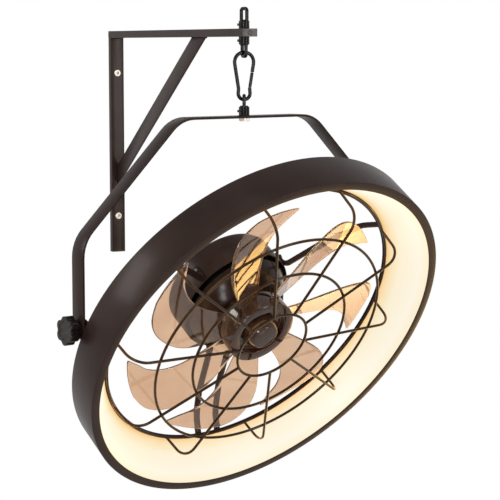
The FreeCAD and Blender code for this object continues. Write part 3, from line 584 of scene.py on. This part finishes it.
# Hook gate
# A short round bar that closes the hook's open side, hung on a pin and pushed shut by a hidden spring.
# Its lower end is rounded about the pin so that it clears the hook as it swings in.
GATE_END_EDGE = 0.0012
GATE_CLEAR = 0.0003
PIN_EDGE = 0.0001
gate_low, gate_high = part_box("hook_gate")
gate_r = (gate_high.y - gate_low.y) / 2
gate_ends = [gate_pin_at - side_up * gate_r, gate_mouth - side_up * GATE_CLEAR]
gate = bent("gate_bar", gate_r, gate_ends, [], (0, -1, 0))
gate.data.transform(Matrix.Translation(hang_axis))
clean(gate, GATE_END_EDGE, steps=4)
seat(gate, black_steel, "gate", "black_steel", "hook_gate")
dress(screw_zinc, PIN_EDGE, "gate_pin")

# Yoke
# One flat steel bar bent round the drum like a bail, with rounded ends that carry the tilt studs.
# It is bent cold over a former, so its corners are wide arcs, and coated like the bracket.
YOKE_TOP_HALF = 0.1035
YOKE_LEG = 0.1035
YOKE_THICK = 0.003
YOKE_BEND_R = 0.045
YOKE_EDGE = 0.0006
YOKE_END_BAND = 0.0001
YOKE_END_SHARE = 0.495
tilt_at = Vector(joint("head_tilt")["pos_m"])
tilt_axis = Vector(joint("head_tilt")["axis"]).normalized()
up = Vector((0, 0, 1))
yoke_turn = Matrix((tilt_axis, up.cross(tilt_axis), up)).transposed().to_4x4()
yoke_place = Matrix.Translation(tilt_at) @ yoke_turn


def box_in(place, *nodes):
    """Lowest and highest corner of CAD parts, measured along the axes of a place."""
    back = place.inverted()
    corners = [back @ vertex.co for name in nodes for vertex in frame["nodes"][name].data.vertices]
    low = Vector([min(corner[i] for corner in corners) for i in range(3)])
    high = Vector([max(corner[i] for corner in corners) for i in range(3)])
    return low, high


yoke_low, yoke_high = box_in(yoke_place, "yoke_bar")
yoke_width = yoke_high.y - yoke_low.y
leg_middle = yoke_high.x - YOKE_THICK / 2
crown = yoke_high.z - YOKE_THICK / 2
yoke = bent("yoke_bail", (YOKE_THICK, yoke_width),
            [(-leg_middle, 0, yoke_low.z), (-leg_middle, 0, YOKE_LEG), (-YOKE_TOP_HALF, 0, crown),
             (YOKE_TOP_HALF, 0, crown), (leg_middle, 0, YOKE_LEG), (leg_middle, 0, yoke_low.z)],
            [YOKE_BEND_R] * 4, (0, 1, 0))
mode("EDIT")
end_z = yoke_low.z + YOKE_END_BAND
pick(yoke, "edges", lambda edge: all(vertex.co.z < end_z for vertex in edge.verts)
     and abs((edge.verts[0].co - edge.verts[1].co).x) > YOKE_THICK / 2)
bpy.ops.mesh.bevel(offset=yoke_width * YOKE_END_SHARE, segments=10, affect="EDGES")
mode("OBJECT")
yoke.data.transform(yoke_place)
clean(yoke, YOKE_EDGE)
seat(yoke, bronze_coat, "yoke", "bronze_paint", "yoke_bar")

# Yoke hanger
# A stem through the yoke's crown with a nut below it, and a grooved collar and an eye above it.
# They are the same black steel parts as on the arm, but with a bright plated nut and a turned eye.
YOKE_EYE_TURN = math.radians(-25.9)
YOKE_NUT_EDGE = 0.0004
yoke_collar = collar("yoke_collar_nut", "yoke_collar", "yoke_stem")
seat(yoke_collar, black_steel, "yoke", "black_steel", "yoke_collar")
yoke_loop = eye_loop("yoke_eye", "yoke_loop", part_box("yoke_loop")[0].z,
                     Matrix.Rotation(YOKE_EYE_TURN, 4, "Z"))
seat(yoke_loop, black_steel, "yoke", "black_steel", "yoke_loop")
dress(black_steel, YOKE_NUT_EDGE, "yoke_stem")
dress(eyelet_nickel, YOKE_NUT_EDGE, "yoke_nut")
dress(screw_zinc, SET_SCREW_EDGE, "yoke_set_screw")

# Drum
# A deep hoop of steel strip rolled and seam welded, its front edge turned in to a narrow flat lip.
# It is the ring that everything in the head is fixed to, powder coated like the bracket.
LIP_WIDTH = 0.011
DRUM_WALL = 0.0015
DRUM_EDGE = 0.0007
RING_STEPS = 240
fan_axis = Vector(joint("fan_spin")["axis"]).normalized()
head_turn = Matrix((tilt_axis, fan_axis.cross(tilt_axis), fan_axis)).transposed().to_4x4()
head_place = Matrix.Translation(tilt_at) @ head_turn
drum_low, drum_high = box_in(head_place, "drum_shell")
drum_r = drum_high.x
drum_back = drum_low.z
drum_front = drum_high.z
lip_r = drum_r - LIP_WIDTH
lip_back = drum_front - DRUM_WALL
drum_in = drum_r - DRUM_WALL
drum = lathe("drum_hoop", [
    (drum_in, drum_back), (drum_r, drum_back), (drum_r, drum_front), (lip_r, drum_front),
    (lip_r, lip_back), (drum_in, lip_back), (drum_in, drum_back)], RING_STEPS)
drum.data.transform(head_place)
clean(drum, DRUM_EDGE, steps=3)
seat(drum, bronze_coat, "head", "bronze_paint", "drum_shell")

# Back plate
# A flat steel ring that closes the back of the drum and carries the light, the guard and the motor arms.
# Its inner edge is hemmed over to a smooth round bead.
PLATE_INNER_R = 0.201
HEM_R = 0.0011
PLATE_EDGE = 0.0003
plate_low, plate_high = box_in(head_place, "back_plate")
plate_r = plate_high.x
plate_front = plate_high.z
plate_middle = (plate_low.z + plate_high.z) / 2
hem_r = PLATE_INNER_R + HEM_R
plate = lathe("plate_ring", [
    (hem_r, plate_low.z), (plate_r, plate_low.z), (plate_r, plate_front), (hem_r, plate_front),
    (PLATE_INNER_R, plate_middle), (hem_r, plate_low.z)], RING_STEPS)
plate.data.transform(head_place)
clean(plate, PLATE_EDGE)
seat(plate, bronze_coat, "head", "bronze_paint", "back_plate")

# Light board
# A ring of white circuit board behind the diffuser, with small yellow light chips in a circle.
# It is glued to the back plate and hidden when the diffuser is on.
BOARD_EDGE = 0.0002
# Solder resist is a smooth white lacquer, and the chips are domes of yellow phosphor gel.
board_lacquer = mottled("white solder resist", "#E4E4E0", "#F4F4F0", 0.020, 0.0010, 0.00002, 0.4, 0.05, {})
chip_gel = mottled("phosphor gel", "#D9A62B", "#F0C24A", 0.003, 0.0006, 0.00002, 0.35, 0.05, {})
dress(board_lacquer, BOARD_EDGE, "light_board")
dress(chip_gel, BOARD_EDGE, "light_chips")

# Light diffuser
# A thin cone of opal acrylic between the back plate and the lip, vacuum formed in one piece.
# It glows evenly, whitest towards the front and amber where it nears the chips at its inner edge.
DIFFUSER_BACK_R = 0.2065
DIFFUSER_WALL = 0.002
GLOW = 0.88
GLOW_STOPS = ((0.0, "#FFD08C"), (0.13, "#FFE6B6"), (0.35, "#FFF4D8"), (0.8, "#FFF8E6"), (1.0, "#FFF2D2"))
OPAL_UNLIT = "#3A352B"
OPAL_ROUGHNESS = 0.45
diffuser_out = DIFFUSER_BACK_R + DIFFUSER_WALL
diffuser = lathe("diffuser_cone", [
    (DIFFUSER_BACK_R, plate_front), (diffuser_out, plate_front), (lip_r + DIFFUSER_WALL, lip_back),
    (lip_r, lip_back), (DIFFUSER_BACK_R, plate_front)], RING_STEPS)
diffuser.data.transform(head_place)
clean(diffuser)
# Opal acrylic: milky all through, so the lit cone shows one soft glow and none of the chips behind it.
opal = bpy.data.materials.new("opal acrylic")
opal.use_nodes = True
tree = opal.node_tree
object_place = add_node(tree, "TexCoord", {}).outputs["Object"]
depth = add_node(tree, "VectorMath", {0: object_place, 1: fan_axis}, operation="DOT_PRODUCT")
head_depth = tilt_at.dot(fan_axis)
share = add_node(tree, "MapRange", {
    "Value": depth.outputs["Value"], "From Min": head_depth + plate_front,
    "From Max": head_depth + lip_back})
feed(tree, tree.nodes["Principled BSDF"], {
    "Base Color": linear(OPAL_UNLIT), "Roughness": OPAL_ROUGHNESS, "Emission Strength": GLOW,
    "Emission Color": ramp(tree, share.outputs["Result"], GLOW_STOPS)})
seat(diffuser, opal, "head", "opal_diffuser", "light_diffuser")

# Wire guard
# Ten bent spokes of round steel wire, spot welded to three domed rings and to a base ring at the plate.
# The wire is lacquered a brown bronze that picks up gold from the light.
GUARD_WIRE_R = 0.0018
GUARD_RING_R = (0.050, 0.1105, 0.162)
GUARD_SPOKES = 10
GUARD_TURN = math.radians(2.2)
GUARD_CORNER_R = 0.200
GUARD_BEND_R = 0.024
GUARD_DOME = 0.0056
WELD_SINK = 0.0005


def ring_of(name, piece, count, first):
    """Copies of a piece set evenly round Z, each with its own mesh, joined into one."""
    copies = []
    for step in range(count):
        copies.append(copy_of(piece))
        copies[-1].data.transform(Matrix.Rotation(first + 2 * math.pi * step / count, 4, "Z"))
    bpy.data.objects.remove(piece)
    return joined(name, copies)


guard_low, guard_high = box_in(head_place, "guard_cage")
base_ring_r = guard_high.x - GUARD_WIRE_R
base_z = guard_low.z + GUARD_WIRE_R
front_z = guard_high.z - GUARD_WIRE_R
inner_ring_r = GUARD_RING_R[0]
dome_slope = GUARD_DOME / (GUARD_CORNER_R - inner_ring_r)
spoke = bent("spoke", GUARD_WIRE_R,
             [(inner_ring_r + GUARD_WIRE_R / 2, 0, front_z), (GUARD_CORNER_R, 0, front_z - GUARD_DOME),
              (base_ring_r, 0, base_z)], [GUARD_BEND_R], (0, 1, 0))
ring_places = [(inner_ring_r, front_z), (base_ring_r, base_z)]
for radius in GUARD_RING_R[1:]:
    spoke_z = front_z - dome_slope * (radius - inner_ring_r)
    ring_places.append((radius, spoke_z - 2 * GUARD_WIRE_R + WELD_SINK))
guard_wires = [ring_of("spokes", spoke, GUARD_SPOKES, GUARD_TURN)]
for radius, height in ring_places:
    bpy.ops.object.select_all(action="DESELECT")
    bpy.ops.mesh.primitive_torus_add(
        major_segments=160, minor_segments=16, major_radius=radius, minor_radius=GUARD_WIRE_R,
        location=(0, 0, height))
    guard_wires.append(fixed("guard_ring"))
guard = joined("guard_wires", guard_wires)
guard.data.transform(head_place)
clean(guard, smooth=60)
# Bronze lacquer on wire: a dark glossy core with light along both edges, gold near the ring light.
guard_lacquer = mottled("bronze lacquered wire", "#1A100A", "#261810", 0.030, 0.0012, 0.00002, 0.2, 0.05, {
    "Specular IOR Level": 0.18, "Specular Tint": linear("#FFE2B8")})
seat(guard, guard_lacquer, "head", "guard_bronze", "guard_cage")

# Motor cup
# A drawn steel can behind the impeller that holds the motor, with a rounded back and a rolled front rim.
# It hangs in the middle of the drum on four bent arms and is coated like the drum.
CUP_WALL = 0.0015
CUP_CORNER = 0.006
CUP_CORNER_STEPS = 6
CUP_RIM = 0.0006
cup_low, cup_high = box_in(head_place, "motor_cup")
cup_r = cup_high.x
cup_back = cup_low.z
cup_front = cup_high.z


def corner(radius, height, bend):
    """Points round a quarter bend from the floor of a can up to its wall."""
    turns = [math.pi / 2 * step / CUP_CORNER_STEPS for step in range(CUP_CORNER_STEPS + 1)]
    middle_r, middle_z = radius - bend, height + bend
    return [(middle_r + bend * math.sin(turn), middle_z - bend * math.cos(turn)) for turn in turns]


cup_outline = corner(cup_r, cup_back, CUP_CORNER) + [(cup_r, cup_front), (cup_r - CUP_WALL, cup_front)]
cup_inside = corner(cup_r - CUP_WALL, cup_back + CUP_WALL, CUP_CORNER - CUP_WALL)
cup = lathe("cup_can", cup_outline + cup_inside[::-1], steps=128)
cup.data.transform(head_place)
clean(cup, CUP_RIM)
seat(cup, bronze_coat, "head", "bronze_paint", "motor_cup")

# Motor
# An outer-rotor motor in the cup: a bearing tube with two bearings, a slotted stator and a bell on a shaft.
# It is made of ground steel, varnished laminations and a blackened pressed bell, and shows only in part.
MOTOR_EDGE = 0.0003
BELL_EDGE = 0.0005
# Ground steel mirrors dully, varnish is brown and half gloss, and the black bell shows a soft sheen.
bearing_steel = mottled(
    "ground bearing steel", "#A9A6A2", "#C2BFBA", 0.006, 0.0005, 0.00001, 0.25, 0.06, {"Metallic": 1.0})
stator_varnish = mottled(
    "varnished laminations", "#2A1D14", "#3A2A1C", 0.005, 0.0005, 0.00004, 0.45, 0.08, {"Metallic": 0.3})
bell_black = mottled(
    "blackened pressed steel", "#100E0D", "#1C1917", 0.010, 0.0008, 0.00003, 0.35, 0.07, {"Metallic": 0.3})
dress(bearing_steel, MOTOR_EDGE, "bearing_tube", "rear_bearing", "front_bearing", "motor_shaft")
dress(stator_varnish, MOTOR_EDGE, "stator")
dress(bell_black, BELL_EDGE, "rotor_bell")

# Motor arms
# Four bent flat bars from the cup's side to the back plate, two wide apart above and a close pair below.
# They are cold bent from mild steel, screwed on at both ends and coated with the drum.
ARM_BAR_WIDTH = 0.008
ARM_BAR_THICK = 0.004
ARM_BAR_EDGE = 0.0007
ARM_FOOT = 0.022
ARM_LEAVES_CUP = -0.022
ARM_ON_PLATE = 0.004
ARM_KNEE = (0.146, 0, -0.016)
ARM_ELBOW = (0.186, 0, -0.005)
ARM_BENDS = (0.007, 0.090, 0.040, 0.009)
# Angles round the head, in degrees
ARM_TOP = 95
SIDE_ARM_SPREAD = 54
HALF_TURN = 180
LOWER_ARM_OFFSET = 0.015
ARM_SCREW_EDGE = 0.0005
MOTOR_ARMS = (
    ("right", ARM_TOP - SIDE_ARM_SPREAD, 0), ("left", ARM_TOP + SIDE_ARM_SPREAD, 0),
    ("lower_right", ARM_TOP + HALF_TURN, LOWER_ARM_OFFSET),
    ("lower_left", ARM_TOP + HALF_TURN, -LOWER_ARM_OFFSET))


def motor_arm(name, turn, offset):
    """One bent arm, drawn in its own plane and turned to its place round the head."""
    near = max(abs(offset) - ARM_BAR_WIDTH / 2, 0)
    seat_r = math.sqrt(cup_r ** 2 - near ** 2) + ARM_BAR_THICK / 2
    plate_line = plate_low.z - ARM_BAR_THICK / 2
    foot_at = PLATE_INNER_R + ARM_ON_PLATE
    bar = bent(name, (ARM_BAR_THICK, ARM_BAR_WIDTH),
               [(seat_r, 0, ARM_LEAVES_CUP - ARM_FOOT), (seat_r, 0, ARM_LEAVES_CUP), ARM_KNEE, ARM_ELBOW,
                (foot_at, 0, plate_line), (foot_at + ARM_FOOT, 0, plate_line)], ARM_BENDS, (0, 1, 0))
    bar.data.transform(head_place @ Matrix.Rotation(math.radians(turn), 4, "Z")
                       @ Matrix.Translation((0, offset, 0)))
    return clean(bar, ARM_BAR_EDGE)


for side, turn, offset in MOTOR_ARMS:
    arm_bar = motor_arm(side + "_arm_bar", turn, offset)
    seat(arm_bar, bronze_coat, "head", "bronze_paint", side + "_motor_arm")
dress(screw_zinc, ARM_SCREW_EDGE, "motor_arm_screws", "ear_screws")

# Rotor cover
# A plain smoked brown cone, moulded and pressed on the shaft between the motor and the impeller.
# It hides the motor and turns with the blades.
COVER_BACK_R = 0.070
COVER_FRONT_R = 0.052
COVER_BACK = -0.017
COVER_WALL = 0.002
COVER_EDGE = 0.0006
cover_front = box_in(head_place, "rotor_cover")[1].z
shaft_r = box_in(head_place, "motor_shaft")[1].x
cover_under = cover_front - COVER_WALL
cover = lathe("cover_cone", [
    (shaft_r, cover_front), (COVER_FRONT_R, cover_front), (COVER_BACK_R, COVER_BACK),
    (COVER_BACK_R - COVER_WALL, COVER_BACK), (COVER_FRONT_R - COVER_WALL, cover_under),
    (shaft_r, cover_under), (shaft_r, cover_front)], steps=128)
cover.data.transform(head_place)
clean(cover, COVER_EDGE)
# Smoked styrene: glossy, brown, and nearly opaque over the dark motor behind it.
smoked_brown = mottled(
    "smoked brown styrene", "#1A0F09", "#24160E", 0.012, 0.0020, 0.00002, 0.18, 0.04,
    {"Specular IOR Level": 0.12})
seat(cover, smoked_brown, "rotor", "cover_brown", "rotor_cover")

# Impeller
# A hub with seven thin swept blades, moulded in one piece of tinted clear plastic.
# The blades twist from a steep root to a flatter tip, are hollowed a little and have rounded edges.
BLADES = 7
BLADE_TURN = math.radians(12)
BLADE_R = 0.179
BLADE_THICK = 0.002
BLADE_ROOT_PITCH = math.radians(21.8)
BLADE_TIP_PITCH = math.radians(11.8)
BLADE_CAMBER_R = 0.361
BLADE_HEIGHTS = (0.0241, 0.0289, 0.0285)
BLADE_CORNER = 0.0045
BLADE_EDGE = 0.0007
HUB_R = 0.046
HUB_FRONT = 0.044
HUB_WALL = 0.0022
HUB_RECESS_R = 0.033
HUB_RECESS_DEPTH = 0.009
HUB_EDGE = 0.0012
HUB_BOSS_R = 0.009
FLOW_GRAIN = 0.012
FLOW_RELIEF = 0.000004
FLOW_SPREAD = 0.01
SPAN_ROWS = 24
CHORD_ROWS = 12
GRID_RIM = 0.49
# Each edge from hub to tip: a share of the way out, and an angle in degrees from the blade's middle line.
BLADE_LEADING = ((0.0, -8.0), (0.37, -6.8), (0.61, -9.2), (0.78, -13.9), (0.88, -19.1), (1.0, -24.3))
BLADE_TRAILING = ((0.0, 27.0), (0.13, 23.6), (0.53, 19.1), (0.81, 12.3), (0.95, 5.4), (1.0, -3.5))


def edge_point(edge, share):
    """A point on the smooth curve through an edge's points, at a share of the way along them."""
    points = [Vector(point) for point in edge]
    points = [2 * points[0] - points[1]] + points + [2 * points[-1] - points[-2]]
    step = min(int(share * (len(edge) - 1)), len(edge) - 2)
    before, start, end, after = points[step:step + 4]
    t = share * (len(edge) - 1) - step
    return (start * 2 + (end - before) * t + (before * 2 - start * 5 + end * 4 - after) * t ** 2
            + (start * 3 - before - end * 3 + after) * t ** 3) / 2


def blade_height(x, y):
    """How far forward the blade's middle surface lies, with its pitch and its hollow across the chord."""
    share = (x - HUB_R) / (BLADE_R - HUB_R)
    root, middle, tip = BLADE_HEIGHTS
    height = root * (1 - share) * (1 - 2 * share) + middle * 4 * share * (1 - share)
    height += tip * share * (2 * share - 1)
    slope = math.tan(BLADE_ROOT_PITCH) * (1 - share) + math.tan(BLADE_TIP_PITCH) * share
    return height + slope * y + y ** 2 / (2 * BLADE_CAMBER_R)


bpy.ops.object.select_all(action="DESELECT")
bpy.ops.mesh.primitive_grid_add(x_subdivisions=SPAN_ROWS, y_subdivisions=CHORD_ROWS, size=1)
blade = bpy.context.object
mode("EDIT")
pick(blade, "verts", lambda vertex: vertex.co.x > GRID_RIM and vertex.co.y < -GRID_RIM)
leading_tip = next(vertex.index for vertex in bmesh.from_edit_mesh(blade.data).verts if vertex.select)
mode("OBJECT")
for vertex in blade.data.vertices:
    leading = edge_point(BLADE_LEADING, vertex.co.x + 0.5)
    trailing = edge_point(BLADE_TRAILING, vertex.co.x + 0.5)
    share, angle = leading.lerp(trailing, vertex.co.y + 0.5)
    radius = HUB_R - HUB_WALL / 2 + (BLADE_R - HUB_R + HUB_WALL / 2) * share
    x, y = radius * math.cos(math.radians(angle)), radius * math.sin(math.radians(angle))
    vertex.co = (x, y, blade_height(x, y))
mode("EDIT")
pick(blade, "verts", lambda vertex: vertex.index == leading_tip)
bpy.ops.mesh.bevel(offset=BLADE_CORNER, segments=4, affect="VERTICES")
mode("OBJECT")
work(blade, "SOLIDIFY", thickness=BLADE_THICK, offset=0)
clean(blade, BLADE_EDGE, steps=3, smooth=45)
blades = ring_of("blades", blade, BLADES, BLADE_TURN)
recess_floor = HUB_FRONT - HUB_RECESS_DEPTH
recess_back = recess_floor - HUB_WALL
recess_out = HUB_RECESS_R + HUB_WALL
face_under = HUB_FRONT - HUB_WALL
hub_in = HUB_R - HUB_WALL
hub = lathe("hub", [
    (shaft_r, cover_front), (HUB_BOSS_R, cover_front), (HUB_BOSS_R, recess_back), (recess_out, recess_back),
    (recess_out, face_under), (hub_in, face_under), (hub_in, cover_front), (HUB_R, cover_front),
    (HUB_R, HUB_FRONT), (HUB_RECESS_R, HUB_FRONT), (HUB_RECESS_R, recess_floor), (shaft_r, recess_floor),
    (shaft_r, cover_front)], steps=128)
clean(hub, HUB_EDGE, steps=3)


def tinted(name, dark, light, patch, roughness, through, bend):
    """A clear plastic tinted in the mass, with faint flow patches from the mould.
    Through is the share of light that it lets through, and bend is its index."""
    return mottled(name, dark, light, patch, FLOW_GRAIN, FLOW_RELIEF, roughness, FLOW_SPREAD,
                   {"Transmission Weight": through, "IOR": bend, "Specular IOR Level": 0.3})


# Polycarbonate tinted amber in the mass: what stands behind it shows through, browner at each layer.
# The thick hub is as deep a tint as smoked glass.
amber_clear = tinted("amber polycarbonate", "#CFA684", "#D8B392", 0.050, 0.03, 0.97, 1.49)
hub_amber = tinted("deep amber polycarbonate", "#62422B", "#725036", 0.020, 0.05, 0.88, 1.4)
blades.data.materials.append(amber_clear)
hub.data.materials.append(hub_amber)
impeller = joined("impeller_moulding", [blades, hub])
impeller.data.transform(head_place)
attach(impeller, "rotor")
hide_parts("impeller")

# Hub cap
# A round smoked cap that screws on the shaft end and holds the impeller, with a chamfered face.
# It is moulded in clear plastic with a grey brown tint.
CAP_TOP_R = 0.017
CAP_EDGE = 0.0008
cap_low, cap_high = box_in(head_place, "hub_cap")
cap_r = cap_high.x
cap_shoulder = cap_low.z + HUB_RECESS_DEPTH
cap = lathe("cap_nut", [(cap_r, cap_low.z), (cap_r, cap_shoulder), (CAP_TOP_R, cap_high.z)], steps=96)
cap.data.transform(head_place)
clean(cap, CAP_EDGE, steps=3)
# Smoked polycarbonate: dark and clear, with the shaft end just showing through.
smoke_clear = tinted("smoked polycarbonate", "#503725", "#624733", 0.010, 0.06, 0.75, 1.38)
seat(cap, smoke_clear, "rotor", "smoke_plastic", "hub_cap")

# Tilt pivots
# An angle ear on each side of the plate with a spacer, a nut and a threaded stud that the head tilts on.
# The ears are pressed steel in the bronze coat, and the rest is plated stock hardware.
EAR_EDGE = 0.0006
PIVOT_EDGE = 0.0004
dress(bronze_coat, EAR_EDGE, "right_pivot_ear", "left_pivot_ear")
for side in ("right", "left"):
    dress(screw_zinc, PIVOT_EDGE, side + "_pivot_spacer", side + "_pivot_nut", side + "_stud",
          side + "_washer")

# Tilt knobs
# Six-lobed hand knobs moulded in dark phenolic on the studs, tightened to hold the head at its tilt.
# Each has a plain skirt against its washer and a softly rounded rim.
KNOB_LOBES = 6
KNOB_LOBE_DEPTH = 0.0028
KNOB_LOBE_SHARPNESS = 1.6
KNOB_STEPS = 16
KNOB_SKIRT_R = 0.012
KNOB_SKIRT = 0.0067
KNOB_SKIRT_EDGE = 0.0005
KNOB_CORE_R = 0.001
KNOB_EDGE = 0.0018
KNOB_DISH = 0.0008
KNOB_DISH_IN = 0.005


def tilt_knob(name, node, facing):
    """A lobed knob on the tilt axis, facing outwards along it."""
    low, high = box_in(yoke_place, node)
    radius = (high.y - low.y) / 2
    near = min(abs(low.x), abs(high.x))
    far = max(abs(low.x), abs(high.x))
    head = far - near - KNOB_SKIRT
    bpy.ops.object.select_all(action="DESELECT")
    bpy.ops.mesh.primitive_cylinder_add(
        vertices=KNOB_LOBES * KNOB_STEPS, radius=radius, depth=head, location=(0, 0, far - head / 2))
    knob = fixed(name)
    mode("EDIT")
    pick(knob, "faces", lambda face: face.normal.z > 0.5)
    bpy.ops.mesh.inset(thickness=KNOB_DISH_IN, depth=0)
    bpy.ops.mesh.inset(thickness=KNOB_DISH, depth=-KNOB_DISH)
    row_angle = 2 * math.pi / (KNOB_LOBES * KNOB_STEPS)
    for step in range(1, KNOB_STEPS):
        hollow = (0.5 - 0.5 * math.cos(2 * math.pi * step / KNOB_STEPS)) ** KNOB_LOBE_SHARPNESS
        share = 1 - KNOB_LOBE_DEPTH / radius * hollow
        pick(knob, "verts", lambda vertex: vertex.co.xy.length > KNOB_CORE_R
             and round(math.atan2(vertex.co.y, vertex.co.x) / row_angle) % KNOB_STEPS == step)
        bpy.ops.transform.resize(value=(share, share, 1), center_override=(0, 0, 0))
    mode("OBJECT")
    clean(knob, KNOB_EDGE, steps=4)
    skirt = clean(lathe("skirt", [(KNOB_SKIRT_R, near), (KNOB_SKIRT_R, far - head)]), KNOB_SKIRT_EDGE)
    knob = joined(name, [knob, skirt])
    knob.data.transform(yoke_place @ Matrix.Rotation(facing * math.pi / 2, 4, "Y"))
    return knob


# Phenolic moulding: hard, near black with a brown cast, and glossy from the tool.
knob_phenolic = mottled(
    "moulded phenolic", "#120D0B", "#1D1613", 0.008, 0.0008, 0.00004, 0.22, 0.05,
    {"Specular IOR Level": 0.2})
for side, facing in (("right", 1), ("left", -1)):
    knob = tilt_knob(side + "_hand_knob", side + "_knob", facing)
    seat(knob, knob_phenolic, side + "_tilt_knob", "knob_plastic", side + "_knob")

# Floor
# A plain pale studio floor far below the fan, as it hangs high on a wall.
# It takes the soft shadow near the fan and fades to the white of the backdrop further out.
FLOOR_AT = (0, -0.4, -1.45)
FLOOR_R = 6.0
FADE_FROM = 0.8
FADE_TO = 2.0
FLOOR_LIFT = 0.75
FLOOR_ROUGHNESS = 0.8
FLOOR_WHITE = "#F4F3F1"
bpy.ops.object.select_all(action="DESELECT")
bpy.ops.mesh.primitive_circle_add(vertices=96, radius=FLOOR_R, fill_type="NGON", location=FLOOR_AT)
floor = bpy.context.object
floor.name = "studio_floor"
# Matt white paint: no gloss, so the floor shows nothing but the shadow.
floor_paint = bpy.data.materials.new("matt white floor")
floor_paint.use_nodes = True
tree = floor_paint.node_tree
surface = tree.nodes["Principled BSDF"]
feed(tree, surface, {"Base Color": linear(FLOOR_WHITE), "Roughness": FLOOR_ROUGHNESS})
object_place = add_node(tree, "TexCoord", {}).outputs["Object"]
away = add_node(tree, "VectorMath", {0: object_place}, operation="LENGTH")
fade = add_node(tree, "MapRange", {
    "Value": away.outputs["Value"], "From Min": FADE_FROM, "From Max": FADE_TO, "To Min": FLOOR_LIFT,
    "To Max": 1.0})
rays = add_node(tree, "LightPath", {})
seen = add_node(tree, "Math", {0: rays.outputs["Is Camera Ray"], 1: rays.outputs["Is Glossy Ray"]},
                operation="MAXIMUM")
seen = add_node(tree, "Math", {0: seen.outputs["Value"], 1: rays.outputs["Is Transmission Ray"]},
                operation="MAXIMUM")
lift = add_node(tree, "Math", {0: seen.outputs["Value"], 1: fade.outputs["Result"]}, operation="MULTIPLY")
white = add_node(tree, "Emission", {"Color": linear("#FFFFFF"), "Strength": 1.0})
shown = add_node(tree, "MixShader", {
    0: lift.outputs["Value"], 1: surface.outputs["BSDF"], 2: white.outputs["Emission"]})
feed(tree, tree.nodes["Material Output"], {"Surface": shown.outputs["Shader"]})
floor.data.materials.append(floor_paint)

# Studio light
# A white backdrop all round, two tall soft boxes in front, and smaller ones at the left and above.
# A warm lamp low on the right gives the blades their gold.
# The backdrop lights the fan softly and shows white to the camera and in reflections.
BACKDROP_LIGHT = 0.4
# Each lamp: its name, width and height, power, colour and place
STUDIO_LAMPS = (
    ("front soft box", (0.5, 1.7), 56, "#FFFFFF", (-1.9, -3.0, 0.1)),
    ("right soft box", (0.5, 1.5), 34, "#FFFFFF", (1.2, -2.8, -0.1)),
    ("left soft box", (0.7, 0.9), 22, "#FFFFFF", (-2.09, 0.2, 0.78)),
    ("top soft box", (0.5, 0.5), 1.2, "#FFFFFF", (-0.3, -0.9, 2.2)),
    ("warm fill", (0.7, 0.7), 8, "#FFCB5E", (1.2, -0.03, -0.95)))
world = bpy.data.worlds.new("white studio")
bpy.context.scene.world = world
world.use_nodes = True
tree = world.node_tree
rays = add_node(tree, "LightPath", {})
seen = add_node(tree, "Math", {0: rays.outputs["Is Camera Ray"], 1: rays.outputs["Is Glossy Ray"]},
                operation="MAXIMUM")
seen = add_node(tree, "Math", {0: seen.outputs["Value"], 1: rays.outputs["Is Transmission Ray"]},
                operation="MAXIMUM")
level = add_node(tree, "MapRange", {
    "Value": seen.outputs["Value"], "To Min": BACKDROP_LIGHT, "To Max": 1.0})
feed(tree, tree.nodes["Background"], {"Color": linear("#FFFFFF"), "Strength": level.outputs["Result"]})


def soft_box(name, size, power, colour, place):
    """A rectangular lamp that shines along the negative Z axis of its place."""
    lamp = bpy.data.lights.new(name, "AREA")
    lamp.shape = "RECTANGLE"
    lamp.size, lamp.size_y = size
    lamp.energy = power
    lamp.color = linear(colour)[:3]
    holder = bpy.data.objects.new(name, lamp)
    holder.matrix_basis = place
    bpy.context.scene.collection.objects.link(holder)
    return holder


for name, size, power, colour, at in STUDIO_LAMPS:
    lamp_at = Vector(at)
    aim = (tilt_at - lamp_at).to_track_quat("-Z", "Y").to_matrix().to_4x4()
    soft_box(name, size, power, colour, Matrix.Translation(lamp_at) @ aim)

# Ring light
# What the diffuser sends into the head: a closed circle of small warm lamps lying just off its face.
# They stay out of the picture themselves and tilt with the head.
RING_LAMPS = 24
RING_LAMP_OFF = 0.003
RING_LAMP_SIZE = (0.058, 0.058)
RING_LAMP_POWER = 0.026
RING_LAMP_COLOUR = "#FFC477"
cone_foot = Vector((DIFFUSER_BACK_R, 0, plate_front))
cone_top = Vector((lip_r, 0, lip_back))
cone_up = (cone_top - cone_foot).normalized()
cone_side = Vector((0, 1, 0))
cone_out = cone_side.cross(cone_up)
lamp_turn = Matrix((cone_side, cone_up, cone_out)).transposed().to_4x4()
lamp_place = Matrix.Translation((cone_foot + cone_top) / 2 - cone_out * RING_LAMP_OFF) @ lamp_turn
for step in range(RING_LAMPS):
    place = head_place @ Matrix.Rotation(2 * math.pi * step / RING_LAMPS, 4, "Z") @ lamp_place
    ring_lamp = soft_box("ring lamp %d" % (step + 1), RING_LAMP_SIZE, RING_LAMP_POWER,
                         RING_LAMP_COLOUR, place)
    ring_lamp.visible_camera = False
    ring_lamp.visible_transmission = False
    ring_lamp.parent = frame["bodies"]["head"]

# Camera
# A long lens a little to the left of the fan and just above its middle, looking slightly down.
# Its place and its angle are fitted to the outlines of the fan.
CAMERA_LENS = 127.1
CAMERA_SENSOR = 36.0
CAMERA_AT = (-0.959, -2.434, 0.145)
CAMERA_PITCH = math.radians(83.393)
CAMERA_TURN = math.radians(-25.857)
camera = bpy.data.cameras.new("camera")
camera.lens = CAMERA_LENS
camera.sensor_width = CAMERA_SENSOR
viewer = bpy.data.objects.new("camera", camera)
viewer.location = CAMERA_AT
viewer.rotation_euler = (CAMERA_PITCH, 0, CAMERA_TURN)
bpy.context.scene.collection.objects.link(viewer)
bpy.context.scene.camera = viewer
bpy.context.scene.view_settings.view_transform = "Standard"
